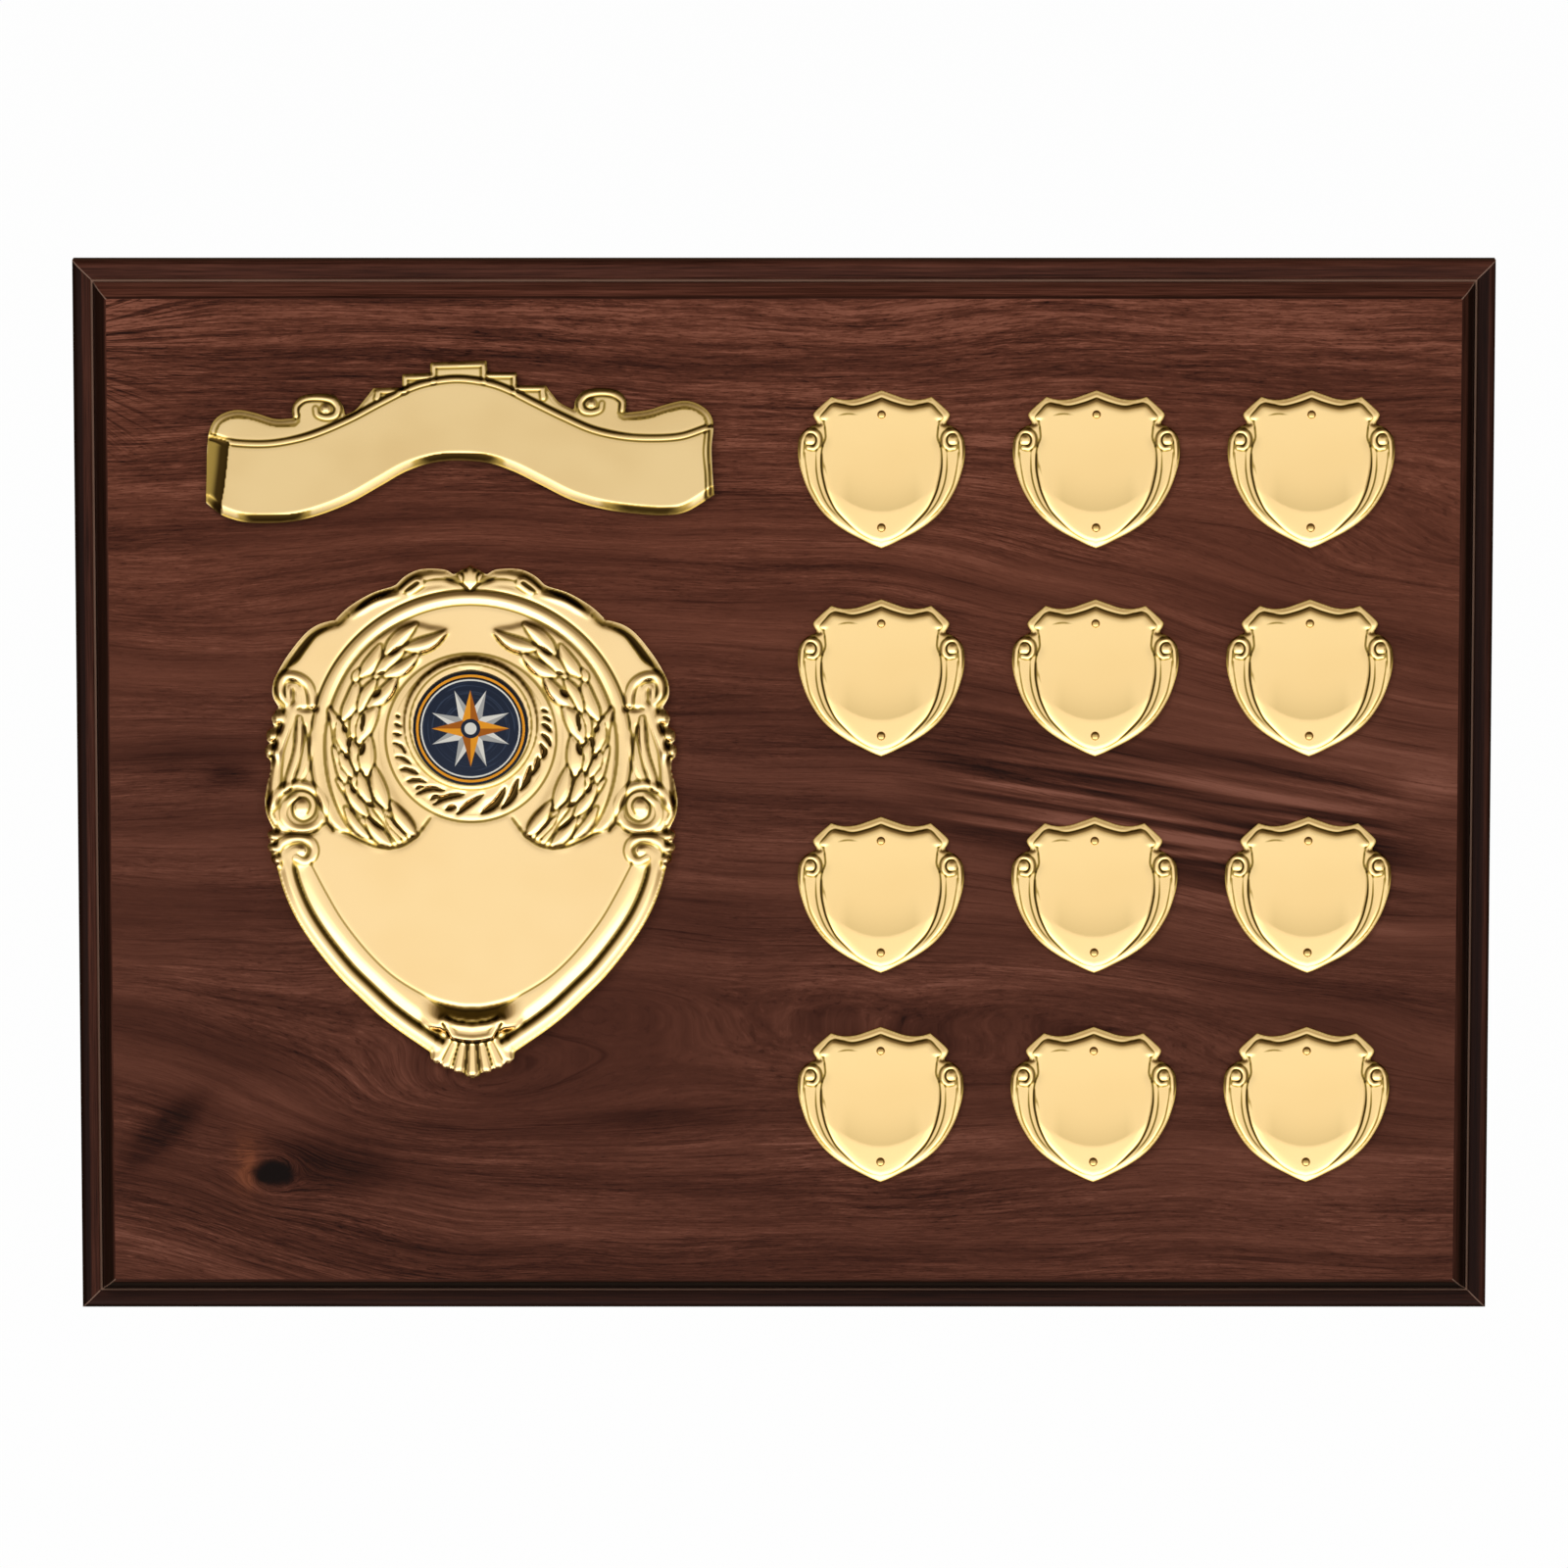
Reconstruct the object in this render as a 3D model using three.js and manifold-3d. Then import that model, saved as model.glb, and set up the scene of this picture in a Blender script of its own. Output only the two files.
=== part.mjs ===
// Award plaque: a moulded board that carries a stamped title scroll, a large stamped shield with an
// inset disc, and twelve small pinned shields. Millimetres and radians, +Z up. The origin is the
// centre of the board's back face, +X is right and the front looks along -Y.
import * as THREE from "three";
import { mergeVertices } from "three/addons/utils/BufferGeometryUtils.js";
import Module from "manifold-3d";

const wasm = await Module();
wasm.setup();

// Board and its edge moulding
const boardWidth = 304.8;
const boardHeight = 228.6;
const boardThickness = 12;
const railWidth = 7.6;
const railSide = 6;
const coveWidth = 3.9;
const coveRise = 3.2;
const filletWidth = 0.5;
const mitreGap = 0.3;
const railCurveSteps = 4;

// Clearances and the overrun of a cutting body past the face it cuts
const fitGap = 0.3;
const overrun = 1;

// Keyhole hanger, let into the back
const hangerDrop = 40;
const hangerWidth = 19;
const hangerHeight = 45;
const hangerThickness = 1.2;
const hangerCorner = 3;
const hangerCurveSteps = 4;
const keyHeadDiameter = 9;
const keySlotWidth = 4;
const keySlotRise = 13;
const keyHeadDrop = 4;
const pocketWidth = 12;
const pocketMargin = 3;
const pocketDepth = 7;
const screwSpacing = 37;
const screwHeadDiameter = 5.6;
const screwShankDiameter = 2.8;
const screwLength = 9;
const screwSides = 8;

// Domed pins of the small shields
const pinHeadDiameter = 1.9;
const pinHeadHeight = 0.8;
const pinShoulderShare = 0.7;
const pinShankDiameter = 1;
const pinLength = 7;
const pinClearance = 0.15;
const pinSides = 6;
const pinHoleSides = 6;

// Small shields: three columns, and rows in shares of the board's half height
const sideWidth = 35.7;
const sideHeight = 34;
const sideSheet = 0.5;
const sideRimHeight = 1.1;
const sideRimWidth = 0.5;
const sideGrooveHeight = 0.8;
const sideScrollHeight = 1.9;
const sideFieldHeight = 1.5;
const sideFieldBevel = 0.8;
const sideCrownHeight = 2.1;
const sideVoluteRadius = 2.3;
const sideVoluteHeight = 0.8;
const sideVoluteTopShare = 0.6;
const sideColumnPitch = 45.95;
const sideCentreShare = 0.4383;
const sideRowShares = [0.6142, 0.2196, -0.1934, -0.5949];
const upperPinRise = 11.9;
const lowerPinDrop = 12.5;

// Large shield
const mainWidth = 88.6;
const mainHeight = 111.3;
const mainCentreShare = [-0.441, -0.0604];
const mainSheet = 0.6;
const mainFieldHeight = 3;
const mainSkirtHeight = 1.8;
const mainCrestHeight = 3.7;
const mainGrooveHeight = 2.3;
const mainTopCrest = 0.9;
const mainTopGroove = 2.2;
const mainTopFlange = 3;
const archRadius = 33.2;
const archRise = 16.3;
const archStart = -0.583;
const archRidgeWidth = 1.5;
const archRidgeGap = 1.7;
const archRidgeHeight = 0.7;
const archSteps = 20;
const ornamentSink = 0.1;

// Boss and centre disc of the large shield
const bossRadius = 17.6;
const bossRise = 18.5;
const bossHeight = 0.7;
const bossEdge = 1;
const discRise = 21.6;
const discDiameter = 24.7;
const discThickness = 1.5;
const discBevel = 0.5;
const adhesiveThickness = 0.4;
const collarWidth = 2;
const collarHeight = 2;
const bossSides = 28;
const gadroonCount = 13;
const gadroonWidth = 2;
const gadroonHeight = 0.9;
const gadroonRootShare = 0.7;
const gadroonSlant = 0.314;

// Laurel wreaths, volutes, beads and shell of the large shield
const leafCount = 8;
const leafLength = 10.5;
const leafWidth = 3.5;
const leafHeight = 1.3;
const leafSpread = 0.3;
const leafOffset = 2.6;
const stemWidth = 2.2;
const voluteRidgeWidth = 1.9;
const voluteRidgeHeight = 1.3;
const shoulderVoluteRadius = 2.9;
const shoulderVoluteStart = -1.57;
const bigVoluteRadius = 4.4;
const bigVoluteStart = 1.05;
const smallVoluteRadius = 3.2;
const smallVoluteStart = -1.05;
const ribbonLeafWidth = 2.4;
const upperBeadRadius = 1.45;
const lowerBeadRadius = 1.2;
const rimLeafWidth = 1.6;
const fluteWidth = 2.1;
const fluteHeight = 1.5;
const cuffWidth = 2.6;
const cuffHeight = 1.4;
const palmetteWidth = 2.2;

// Title scroll
const scrollWidth = 109.2;
const scrollHeight = 34.2;
const scrollCentreShare = [-0.4544, 0.6562];
const scrollTurn = -0.0227;
const scrollSheet = 0.6;
const scrollFaceHeight = 3;
const scrollSkirtHeight = 1.4;
const scrollGrooveWidth = 0.7;
const scrollGrooveDepth = 0.7;
const scrollRidgeOffset = 1.5;
const scrollRidgeHeight = 3.3;
const scrollCrestHeight = 2.6;
const scrollRollHeight = 3.5;
const scrollVoluteWidth = 1.3;
const scrollVoluteHeight = 1.1;
const scrollVoluteStart = -1.75;
const scrollFrameWidth = 1.1;
const scrollFrameHeight = 0.8;
const scrollEndBandWidth = 2.2;
const scrollEndBandHeight = 1;

// Foam pads under the scroll and the large shield
const scrollPadLength = 20;
const scrollPadHeight = 9;
const shieldPadWidth = 9;
const shieldPadHeight = 34;
const lowerPadWidth = 34;
const lowerPadHeight = 14;

// Outlines in shares of the half width and the half height, from the top down the right side
const sideOutlineShares = [
  [0, 1], [0.3, 0.885], [0.45, 0.882], [0.6, 0.918], [0.807, 0.712], [0.762, 0.582], [0.9, 0.515],
  [0.99, 0.39], [1, 0.15], [0.92, -0.16], [0.79, -0.43], [0.61, -0.645], [0.35, -0.83], [0, -1],
];
const sideFieldShares = [
  [0, 0.806], [0.381, 0.741], [0.575, 0.765], [0.65, 0.66], [0.611, 0.412], [0.65, 0.206],
  [0.706, -0.059], [0.661, -0.294], [0.515, -0.541], [0.303, -0.747], [0, -0.894],
];
const sideVoluteShare = [0.835, 0.395];
const sideScrollTopShare = 0.62;
const sideScrollFootShare = -0.55;

const mainOutlineShares = [
  [0, 1], [0.081, 0.963], [0.126, 0.987], [0.185, 0.994], [0.26, 0.987], [0.321, 0.961],
  [0.368, 0.925], [0.451, 0.909], [0.526, 0.884], [0.6, 0.843], [0.664, 0.788], [0.745, 0.774],
  [0.81, 0.74], [0.871, 0.683], [0.919, 0.62], [0.957, 0.562], [0.968, 0.518], [0.957, 0.48],
  [0.935, 0.445], [0.938, 0.36], [0.968, 0.221], [0.989, 0.144], [1, 0.072], [0.991, 0.022],
  [0.955, -0.03], [0.946, -0.162], [0.916, -0.252], [0.871, -0.341], [0.815, -0.422],
  [0.74, -0.507], [0.643, -0.602], [0.542, -0.683], [0.361, -0.809], [0.183, -0.906], [0, -0.955],
];
const mainCrestShares = [
  [0.903, -0.162], [0.867, -0.252], [0.817, -0.341], [0.673, -0.503], [0.483, -0.665],
  [0.293, -0.783], [0.15, -0.85], [0, -0.88],
];
const mainGrooveShares = [
  [0.849, -0.162], [0.81, -0.234], [0.749, -0.323], [0.591, -0.496], [0.402, -0.663],
  [0.284, -0.728], [0.169, -0.778], [0, -0.81],
];
const mainFieldShares = [
  [0.774, -0.162], [0.704, -0.27], [0.625, -0.377], [0.512, -0.494], [0.4, -0.584],
  [0.284, -0.647], [0.169, -0.692], [0, -0.715],
];

// Places of the large shield's ornaments, right side, in the same shares
const wreathShares = [
  [0.36, -0.05], [0.5, 0.08], [0.57, 0.24], [0.58, 0.42], [0.54, 0.56], [0.43, 0.67], [0.27, 0.735],
];
const shoulderVoluteShare = [0.874, 0.51];
const bigVoluteShare = [0.815, 0.065];
const smallVoluteShare = [0.825, -0.112];
const ribbonLeafShares = [[0.81, 0.46], [0.83, 0.35], [0.87, 0.24], [0.91, 0.13]];
const upperBeadShares = [[0.945, 0.405], [0.95, 0.347], [0.965, 0.292], [0.968, 0.24]];
const lowerBeadShares = [[0.955, -0.04], [0.96, -0.092], [0.94, -0.135]];
const rimLeafShares = [[0.3, 0.94], [0.39, 0.895], [0.48, 0.865], [0.58, 0.83]];
const shellRootShare = [0, -0.84];
const fluteStationShares = [0, 0.5, 0.9, 1];
const fluteTipShares = [[0, -0.985], [0.058, -0.972], [0.112, -0.955], [0.158, -0.93]];
const cuffShares = [[-0.13, -0.775], [-0.07, -0.805], [0, -0.815], [0.07, -0.805], [0.13, -0.775]];
const palmetteShares = [[[0, 0.935], [0, 0.995]], [[0.015, 0.935], [0.05, 0.975]]];

// Title scroll, from the middle out, in shares of the half width and the half height
const scrollTopShares = [
  [0, 1], [0.112, 1], [0.114, 0.855], [0.224, 0.855], [0.226, 0.673], [0.339, 0.673],
  [0.372, 0.538], [0.408, 0.433], [0.449, 0.374], [0.463, 0.485], [0.5, 0.602], [0.559, 0.629],
  [0.615, 0.591], [0.652, 0.49], [0.665, 0.32], [0.72, 0.345], [0.804, 0.415], [0.875, 0.444],
  [0.938, 0.374], [0.976, 0.222], [1, 0.07],
];
const scrollBottomShares = [
  [0, -0.257], [0.092, -0.281], [0.181, -0.363], [0.275, -0.515], [0.385, -0.702],
  [0.495, -0.842], [0.623, -0.942], [0.723, -0.994], [0.802, -1], [0.879, -0.959],
  [0.943, -0.865], [1, -0.731],
];
const scrollRibbonShares = [
  [0, 0.784], [0.092, 0.749], [0.183, 0.649], [0.275, 0.515], [0.366, 0.357], [0.458, 0.222],
  [0.549, 0.105], [0.641, 0.035], [0.733, 0], [0.824, 0.012], [0.916, 0.058], [0.971, 0.08],
  [1, -0.05],
];
const scrollLowerShares = [
  [0, -0.14], [0.095, -0.164], [0.189, -0.246], [0.286, -0.398], [0.397, -0.585],
  [0.505, -0.725], [0.623, -0.819], [0.723, -0.871], [0.802, -0.877], [0.875, -0.813],
  [0.927, -0.673], [1, -0.6],
];
const scrollRollStartShare = 0.665;
const scrollVoluteCentreShare = [0.555, 0.45];
const scrollVoluteRadiusShares = [0.085, 0.15];
const scrollStepFrameShares = [
  [0.33, 0.62], [0.235, 0.62], [0.215, 0.8], [0.12, 0.8], [0.1, 0.945], [0, 0.945],
];
const scrollEndBandShares = [[0.985, -0.6], [0.978, -0.25], [0.978, 0.06]];
const scrollPadShares = [[-0.72, -0.45], [0, 0.32], [0.72, -0.45]];
const shieldPadShares = [[-0.5, 0.28], [0.5, 0.28]];
const lowerPadShare = [0, -0.36];

// Finishes
const wood = new THREE.MeshStandardMaterial({ color: 0x5a3227, roughness: 0.45, metalness: 0 });
const edgeWood = new THREE.MeshStandardMaterial({ color: 0x3a1f18, roughness: 0.4, metalness: 0 });
const gilt = new THREE.MeshStandardMaterial({ color: 0xdcb768, roughness: 0.22, metalness: 1 });
const print = new THREE.MeshStandardMaterial({ color: 0x1a2433, roughness: 0.25, metalness: 0 });
const foam = new THREE.MeshStandardMaterial({ color: 0xe4e1d8, roughness: 0.95, metalness: 0 });
const steel = new THREE.MeshStandardMaterial({ color: 0xb9bcc0, roughness: 0.35, metalness: 1 });

const plaque = new THREE.Group();

function place(name, geometry, material, x, y, z, turn = 0) {
  const mesh = new THREE.Mesh(geometry, material);
  mesh.name = name;
  mesh.position.set(x, y, z);
  mesh.rotation.y = turn;
  plaque.add(mesh);
}

// A solid made of points and triangles, turned to face outwards
function solidOfFaces(points, faces) {
  const made = (triangles) =>
    new wasm.Manifold(
      new wasm.Mesh({
        numProp: 3,
        vertProperties: Float32Array.from(points.flatMap((point) => point.toArray())),
        triVerts: Uint32Array.from(triangles.flat()),
      }),
    );
  const body = made(faces);
  return body.volume() > 0 ? body : made(faces.map(([a, b, c]) => [a, c, b]));
}

function solidOfGeometry(geometry) {
  const bare = geometry.clone();
  bare.deleteAttribute("normal");
  bare.deleteAttribute("uv");
  const merged = mergeVertices(bare);
  const position = merged.getAttribute("position");
  const points = [];
  for (let i = 0; i < position.count; i++) {
    points.push(new THREE.Vector3().fromBufferAttribute(position, i));
  }
  const faces = [];
  for (let i = 0; i < merged.index.count; i += 3) {
    faces.push([merged.index.getX(i), merged.index.getX(i + 1), merged.index.getX(i + 2)]);
  }
  return solidOfFaces(points, faces);
}

function geometryOfSolid(body) {
  const mesh = body.getMesh();
  const geometry = new THREE.BufferGeometry();
  geometry.setAttribute("position", new THREE.BufferAttribute(mesh.vertProperties, mesh.numProp));
  geometry.setIndex(new THREE.BufferAttribute(mesh.triVerts, 1));
  geometry.computeVertexNormals();
  return geometry;
}

function middleOf(ring) {
  const sum = ring.reduce((total, point) => total.add(point), new THREE.Vector3());
  return sum.divideScalar(ring.length);
}

// A closed skin over rings of as many points each, with a tip that closes the first and the last
function solidOfRings(rings, firstTip = middleOf(rings[0]), lastTip = middleOf(rings.at(-1))) {
  const count = rings[0].length;
  const points = [...rings.flat(), firstTip, lastTip];
  const lastStart = (rings.length - 1) * count;
  const faces = [];
  for (let i = 0; i < count; i++) {
    const next = (i + 1) % count;
    faces.push([points.length - 2, next, i]);
    faces.push([points.length - 1, lastStart + i, lastStart + next]);
    for (let start = 0; start < lastStart; start += count) {
      faces.push([start + i, start + next, start + count + next]);
      faces.push([start + i, start + count + next, start + count + i]);
    }
  }
  return solidOfFaces(points, faces);
}

// A point at a height in front of the board's face, from its place on that face
function raised(spot, height) {
  return new THREE.Vector3(spot.x, -height, spot.y);
}

function fromShares(shares, width, height) {
  return shares.map(([u, w]) => new THREE.Vector2((u * width) / 2, (w * height) / 2));
}

function mirrored(spots) {
  return spots.map((spot) => new THREE.Vector2(-spot.x, spot.y));
}

// The whole outline from its right half, which starts and ends on the axis
function bothHalves(half) {
  return [...half, ...mirrored(half.slice(1, -1)).reverse()];
}

// How far a line reaches from the middle in a direction, or undefined where it isn't met
const roundingShare = 1e-9;

function reach(line, direction, closed = true) {
  const last = closed ? line.length : line.length - 1;
  for (let i = 0; i < last; i++) {
    const start = line[i];
    const span = line[(i + 1) % line.length].clone().sub(start);
    const facing = direction.cross(span);
    const along = start.cross(direction) / facing;
    const distance = start.cross(span) / facing;
    if (along >= -roundingShare && along <= 1 + roundingShare && distance > 0) {
      return distance;
    }
  }
  return undefined;
}

function ringAt(directions, distanceAt, heightAt) {
  return directions.map((direction) =>
    raised(direction.clone().multiplyScalar(distanceAt(direction)), heightAt(direction)),
  );
}

// The section of a raised ridge: feet, shoulders and crest, as shares of its width and height
const ridgeSectionShares = [[-1, 0], [-0.62, 0.75], [0, 1], [0.62, 0.75], [1, 0]];
const leafSectionShares = [[-1, 0], [0, 1], [1, 0]];

// How much of its width and height a ridge keeps at its two ends
const slimEndShare = 0.3;
const curlEndShare = 0.5;
const squareEndShare = 1;

// A ridge along a route, drawn in towards its ends, that rises from a floor
function ridge(route, width, height, floor, endShare, sectionShares = ridgeSectionShares) {
  const rings = route.map((spot, i) => {
    const before = route[Math.max(i - 1, 0)];
    const after = route[Math.min(i + 1, route.length - 1)];
    const along = after.clone().sub(before).normalize();
    const across = new THREE.Vector2(-along.y, along.x);
    const share = i / (route.length - 1);
    const fullness = Math.max(Math.sqrt(Math.sin(Math.PI * share)), endShare);
    return sectionShares.map(([side, rise]) => {
      const foot = spot.clone().addScaledVector(across, (side * fullness * width) / 2);
      return raised(foot, floor + rise * fullness * height);
    });
  });
  return solidOfRings(rings);
}

// A keeled blade that runs out to a point at both ends
const bladeWaistShare = 0.45;

function blade(root, tip, width, height, floor) {
  const along = tip.clone().sub(root);
  const across = new THREE.Vector2(-along.y, along.x).normalize();
  const waist = root.clone().addScaledVector(along, bladeWaistShare);
  const section = leafSectionShares.map(([side, rise]) =>
    raised(waist.clone().addScaledVector(across, (side * width) / 2), floor + rise * height),
  );
  return solidOfRings([section], raised(root, floor), raised(tip, floor));
}

const spiralSteps = 12;
const spiralTurn = 9.8;
const spiralEyeShare = 0.22;

// A route that winds in from the rim of a volute to its eye
function spiral(centre, radius, start, hand) {
  const route = [];
  for (let i = 0; i <= spiralSteps; i++) {
    const share = i / spiralSteps;
    const arm = new THREE.Vector2(radius * THREE.MathUtils.lerp(1, spiralEyeShare, share), 0);
    arm.rotateAround(new THREE.Vector2(), start + hand * share * spiralTurn);
    route.push(arm.add(centre));
  }
  return route;
}

const beadSides = 6;
const beadBands = 4;

function bead(centre, radius, height) {
  const ball = new THREE.SphereGeometry(radius, beadSides, beadBands);
  ball.rotateX(Math.PI / 2);
  ball.translate(centre.x, -height, centre.y);
  return solidOfGeometry(ball);
}

function joined(bodies) {
  return bodies.reduce((whole, body) => whole.add(body));
}

// A solid turned round the depth axis from pairs of radius and height in front
function turned(profile, sides, centre = new THREE.Vector2()) {
  const points = profile.map(([radius, height]) => new THREE.Vector2(radius, -height));
  const lathe = new THREE.LatheGeometry(points, sides);
  lathe.translate(centre.x, 0, centre.y);
  return solidOfGeometry(lathe);
}

// A shape cut from flat stock: its face stands at zero depth and its back at the given depth
function slab(shape, depth) {
  const geometry = new THREE.ExtrudeGeometry(shape, {
    depth,
    bevelEnabled: false,
    curveSegments: hangerCurveSteps,
  });
  geometry.rotateX(Math.PI / 2);
  return geometry;
}

// Board core: a flat panel with the hanger's recess and pocket, and holes for screws and pins
const hangerZ = boardHeight / 2 - hangerDrop;
const panelWidth = boardWidth - 2 * railWidth;
const panelHeight = boardHeight - 2 * railWidth;
const faceY = -boardThickness;

function box(width, height, depth, x, backY, z) {
  const geometry = new THREE.BoxGeometry(width, depth, height);
  geometry.translate(x, backY - depth / 2, z);
  return geometry;
}

function roundedRectangle(width, height, corner) {
  const shape = new THREE.Shape();
  const right = width / 2;
  const top = height / 2;
  shape.moveTo(-right + corner, -top);
  shape.lineTo(right - corner, -top);
  shape.absarc(right - corner, -top + corner, corner, -Math.PI / 2, 0);
  shape.lineTo(right, top - corner);
  shape.absarc(right - corner, top - corner, corner, 0, Math.PI / 2);
  shape.lineTo(-right + corner, top);
  shape.absarc(-right + corner, top - corner, corner, Math.PI / 2, Math.PI);
  shape.lineTo(-right, -top + corner);
  shape.absarc(-right + corner, -top + corner, corner, Math.PI, 1.5 * Math.PI);
  return shape;
}

// A many-sided hole keeps its stated radius at the middle of its flats
function holeRadius(radius, sides) {
  return radius / Math.cos(Math.PI / sides);
}

function sidePlaces() {
  const places = [];
  for (const rowShare of sideRowShares) {
    const [middle] = fromShares([[sideCentreShare, rowShare]], boardWidth, boardHeight);
    for (const column of [-1, 0, 1]) {
      places.push(new THREE.Vector2(middle.x + column * sideColumnPitch, middle.y));
    }
  }
  return places;
}

function pinPlaces() {
  return sidePlaces().flatMap((place) => [
    new THREE.Vector2(place.x, place.y + upperPinRise),
    new THREE.Vector2(place.x, place.y - lowerPinDrop),
  ]);
}

function makePanel() {
  const pocketHeight = keySlotRise + (keyHeadDiameter + keySlotWidth) / 2 + 2 * pocketMargin;
  const pocketZ = hangerZ - keyHeadDrop + keySlotRise / 2 - (keyHeadDiameter - keySlotWidth) / 4;
  const recess = roundedRectangle(
    hangerWidth + 2 * fitGap,
    hangerHeight + 2 * fitGap,
    hangerCorner + fitGap,
  );
  const recessCut = slab(recess, hangerThickness + overrun);
  recessCut.translate(0, overrun, hangerZ);
  const pocketStart = -hangerThickness + overrun / 2;
  const pocketCut = box(pocketWidth, pocketHeight, pocketDepth + overrun / 2, 0, pocketStart, pocketZ);
  const screwBore = holeRadius(screwShankDiameter / 2 + fitGap, screwSides);
  const cuts = [solidOfGeometry(recessCut), solidOfGeometry(pocketCut)];
  for (const side of [-1, 1]) {
    const spot = new THREE.Vector2(0, hangerZ + (side * screwSpacing) / 2);
    const depth = screwLength + fitGap;
    const profile = [[0, depth], [screwBore, depth], [screwBore, 0], [0, 0]];
    cuts.push(turned(profile, screwSides, spot));
  }
  const pinBore = holeRadius(pinShankDiameter / 2 + pinClearance, pinHoleSides);
  const pinFloor = boardThickness - pinDepth() - fitGap;
  const mouth = boardThickness + overrun;
  const pinProfile = [[0, mouth], [pinBore, mouth], [pinBore, pinFloor], [0, pinFloor]];
  for (const spot of pinPlaces()) {
    cuts.push(turned(pinProfile, pinHoleSides, spot));
  }
  const core = solidOfGeometry(box(panelWidth, panelHeight, boardThickness, 0, 0, 0));
  return geometryOfSolid(core.subtract(joined(cuts)));
}

// Edge moulding: an upright side, a cove, a fillet and an ovolo up to the face
function railProfile() {
  const shape = new THREE.Shape();
  const ledge = railSide + coveRise;
  const ovoloWidth = railWidth - coveWidth - filletWidth;
  shape.moveTo(0, 0);
  shape.lineTo(0, railSide);
  shape.absellipse(0, ledge, coveWidth, coveRise, -Math.PI / 2, 0, false);
  shape.lineTo(coveWidth + filletWidth, ledge);
  shape.absellipse(railWidth, ledge, ovoloWidth, boardThickness - ledge, Math.PI, Math.PI / 2, true);
  shape.lineTo(railWidth, 0);
  return shape;
}

function rail(length) {
  const geometry = new THREE.ExtrudeGeometry(railProfile(), {
    depth: length,
    bevelEnabled: false,
    curveSegments: railCurveSteps,
  });
  const position = geometry.getAttribute("position");
  for (let i = 0; i < position.count; i++) {
    const mitre = position.getX(i) + mitreGap / Math.SQRT2;
    position.setZ(i, position.getZ(i) > length / 2 ? length - mitre : mitre);
  }
  const inwards = new THREE.Vector3(0, 0, 1);
  const forwards = new THREE.Vector3(0, -1, 0);
  const along = new THREE.Vector3(1, 0, 0);
  geometry.applyMatrix4(new THREE.Matrix4().makeBasis(inwards, forwards, along));
  geometry.translate(-length / 2, 0, 0);
  return geometry;
}

// Keyhole hanger: a flush plate with a keyhole, and its two countersunk screws
function makeKeyholePlate() {
  const shape = roundedRectangle(hangerWidth, hangerHeight, hangerCorner);
  const keyhole = new THREE.Path();
  const slot = keySlotWidth / 2;
  const head = keyHeadDiameter / 2;
  const neck = Math.asin(slot / head);
  keyhole.absarc(0, -keyHeadDrop, head, Math.PI / 2 + neck, 2.5 * Math.PI - neck);
  keyhole.absarc(0, keySlotRise - keyHeadDrop, slot, 0, Math.PI);
  shape.holes.push(keyhole);
  const plate = solidOfGeometry(slab(shape, hangerThickness));
  const wide = screwHeadDiameter / 2 + fitGap;
  const slope = (screwHeadDiameter - screwShankDiameter) / 2 / hangerThickness;
  const cuts = [-1, 1].map((side) => {
    const spot = new THREE.Vector2(0, (side * screwSpacing) / 2);
    const outer = wide + slope * overrun;
    const inner = wide - slope * (hangerThickness + fitGap);
    const profile = [[0, -overrun], [outer, -overrun], [inner, hangerThickness + fitGap]];
    profile.push([0, hangerThickness + fitGap]);
    return turned(profile, screwSides, spot);
  });
  return geometryOfSolid(plate.subtract(joined(cuts)));
}

function makeScrew() {
  const head = screwHeadDiameter / 2;
  const shank = screwShankDiameter / 2;
  const point = screwLength - screwShankDiameter;
  const profile = [[0, 0], [head, 0], [shank, hangerThickness], [shank, point], [0, screwLength]];
  return geometryOfSolid(turned(profile, screwSides));
}

// Small shields: a sheet stamped with a rim, side scrolls with volutes, and a crowned field
function sideScrollFullness(direction) {
  const angle = direction.y;
  const rise = THREE.MathUtils.smoothstep(sideScrollTopShare - angle, 0, sideScrollTopShare);
  const fall = THREE.MathUtils.smoothstep(angle, -1, sideScrollFootShare);
  return rise * fall;
}

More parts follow.
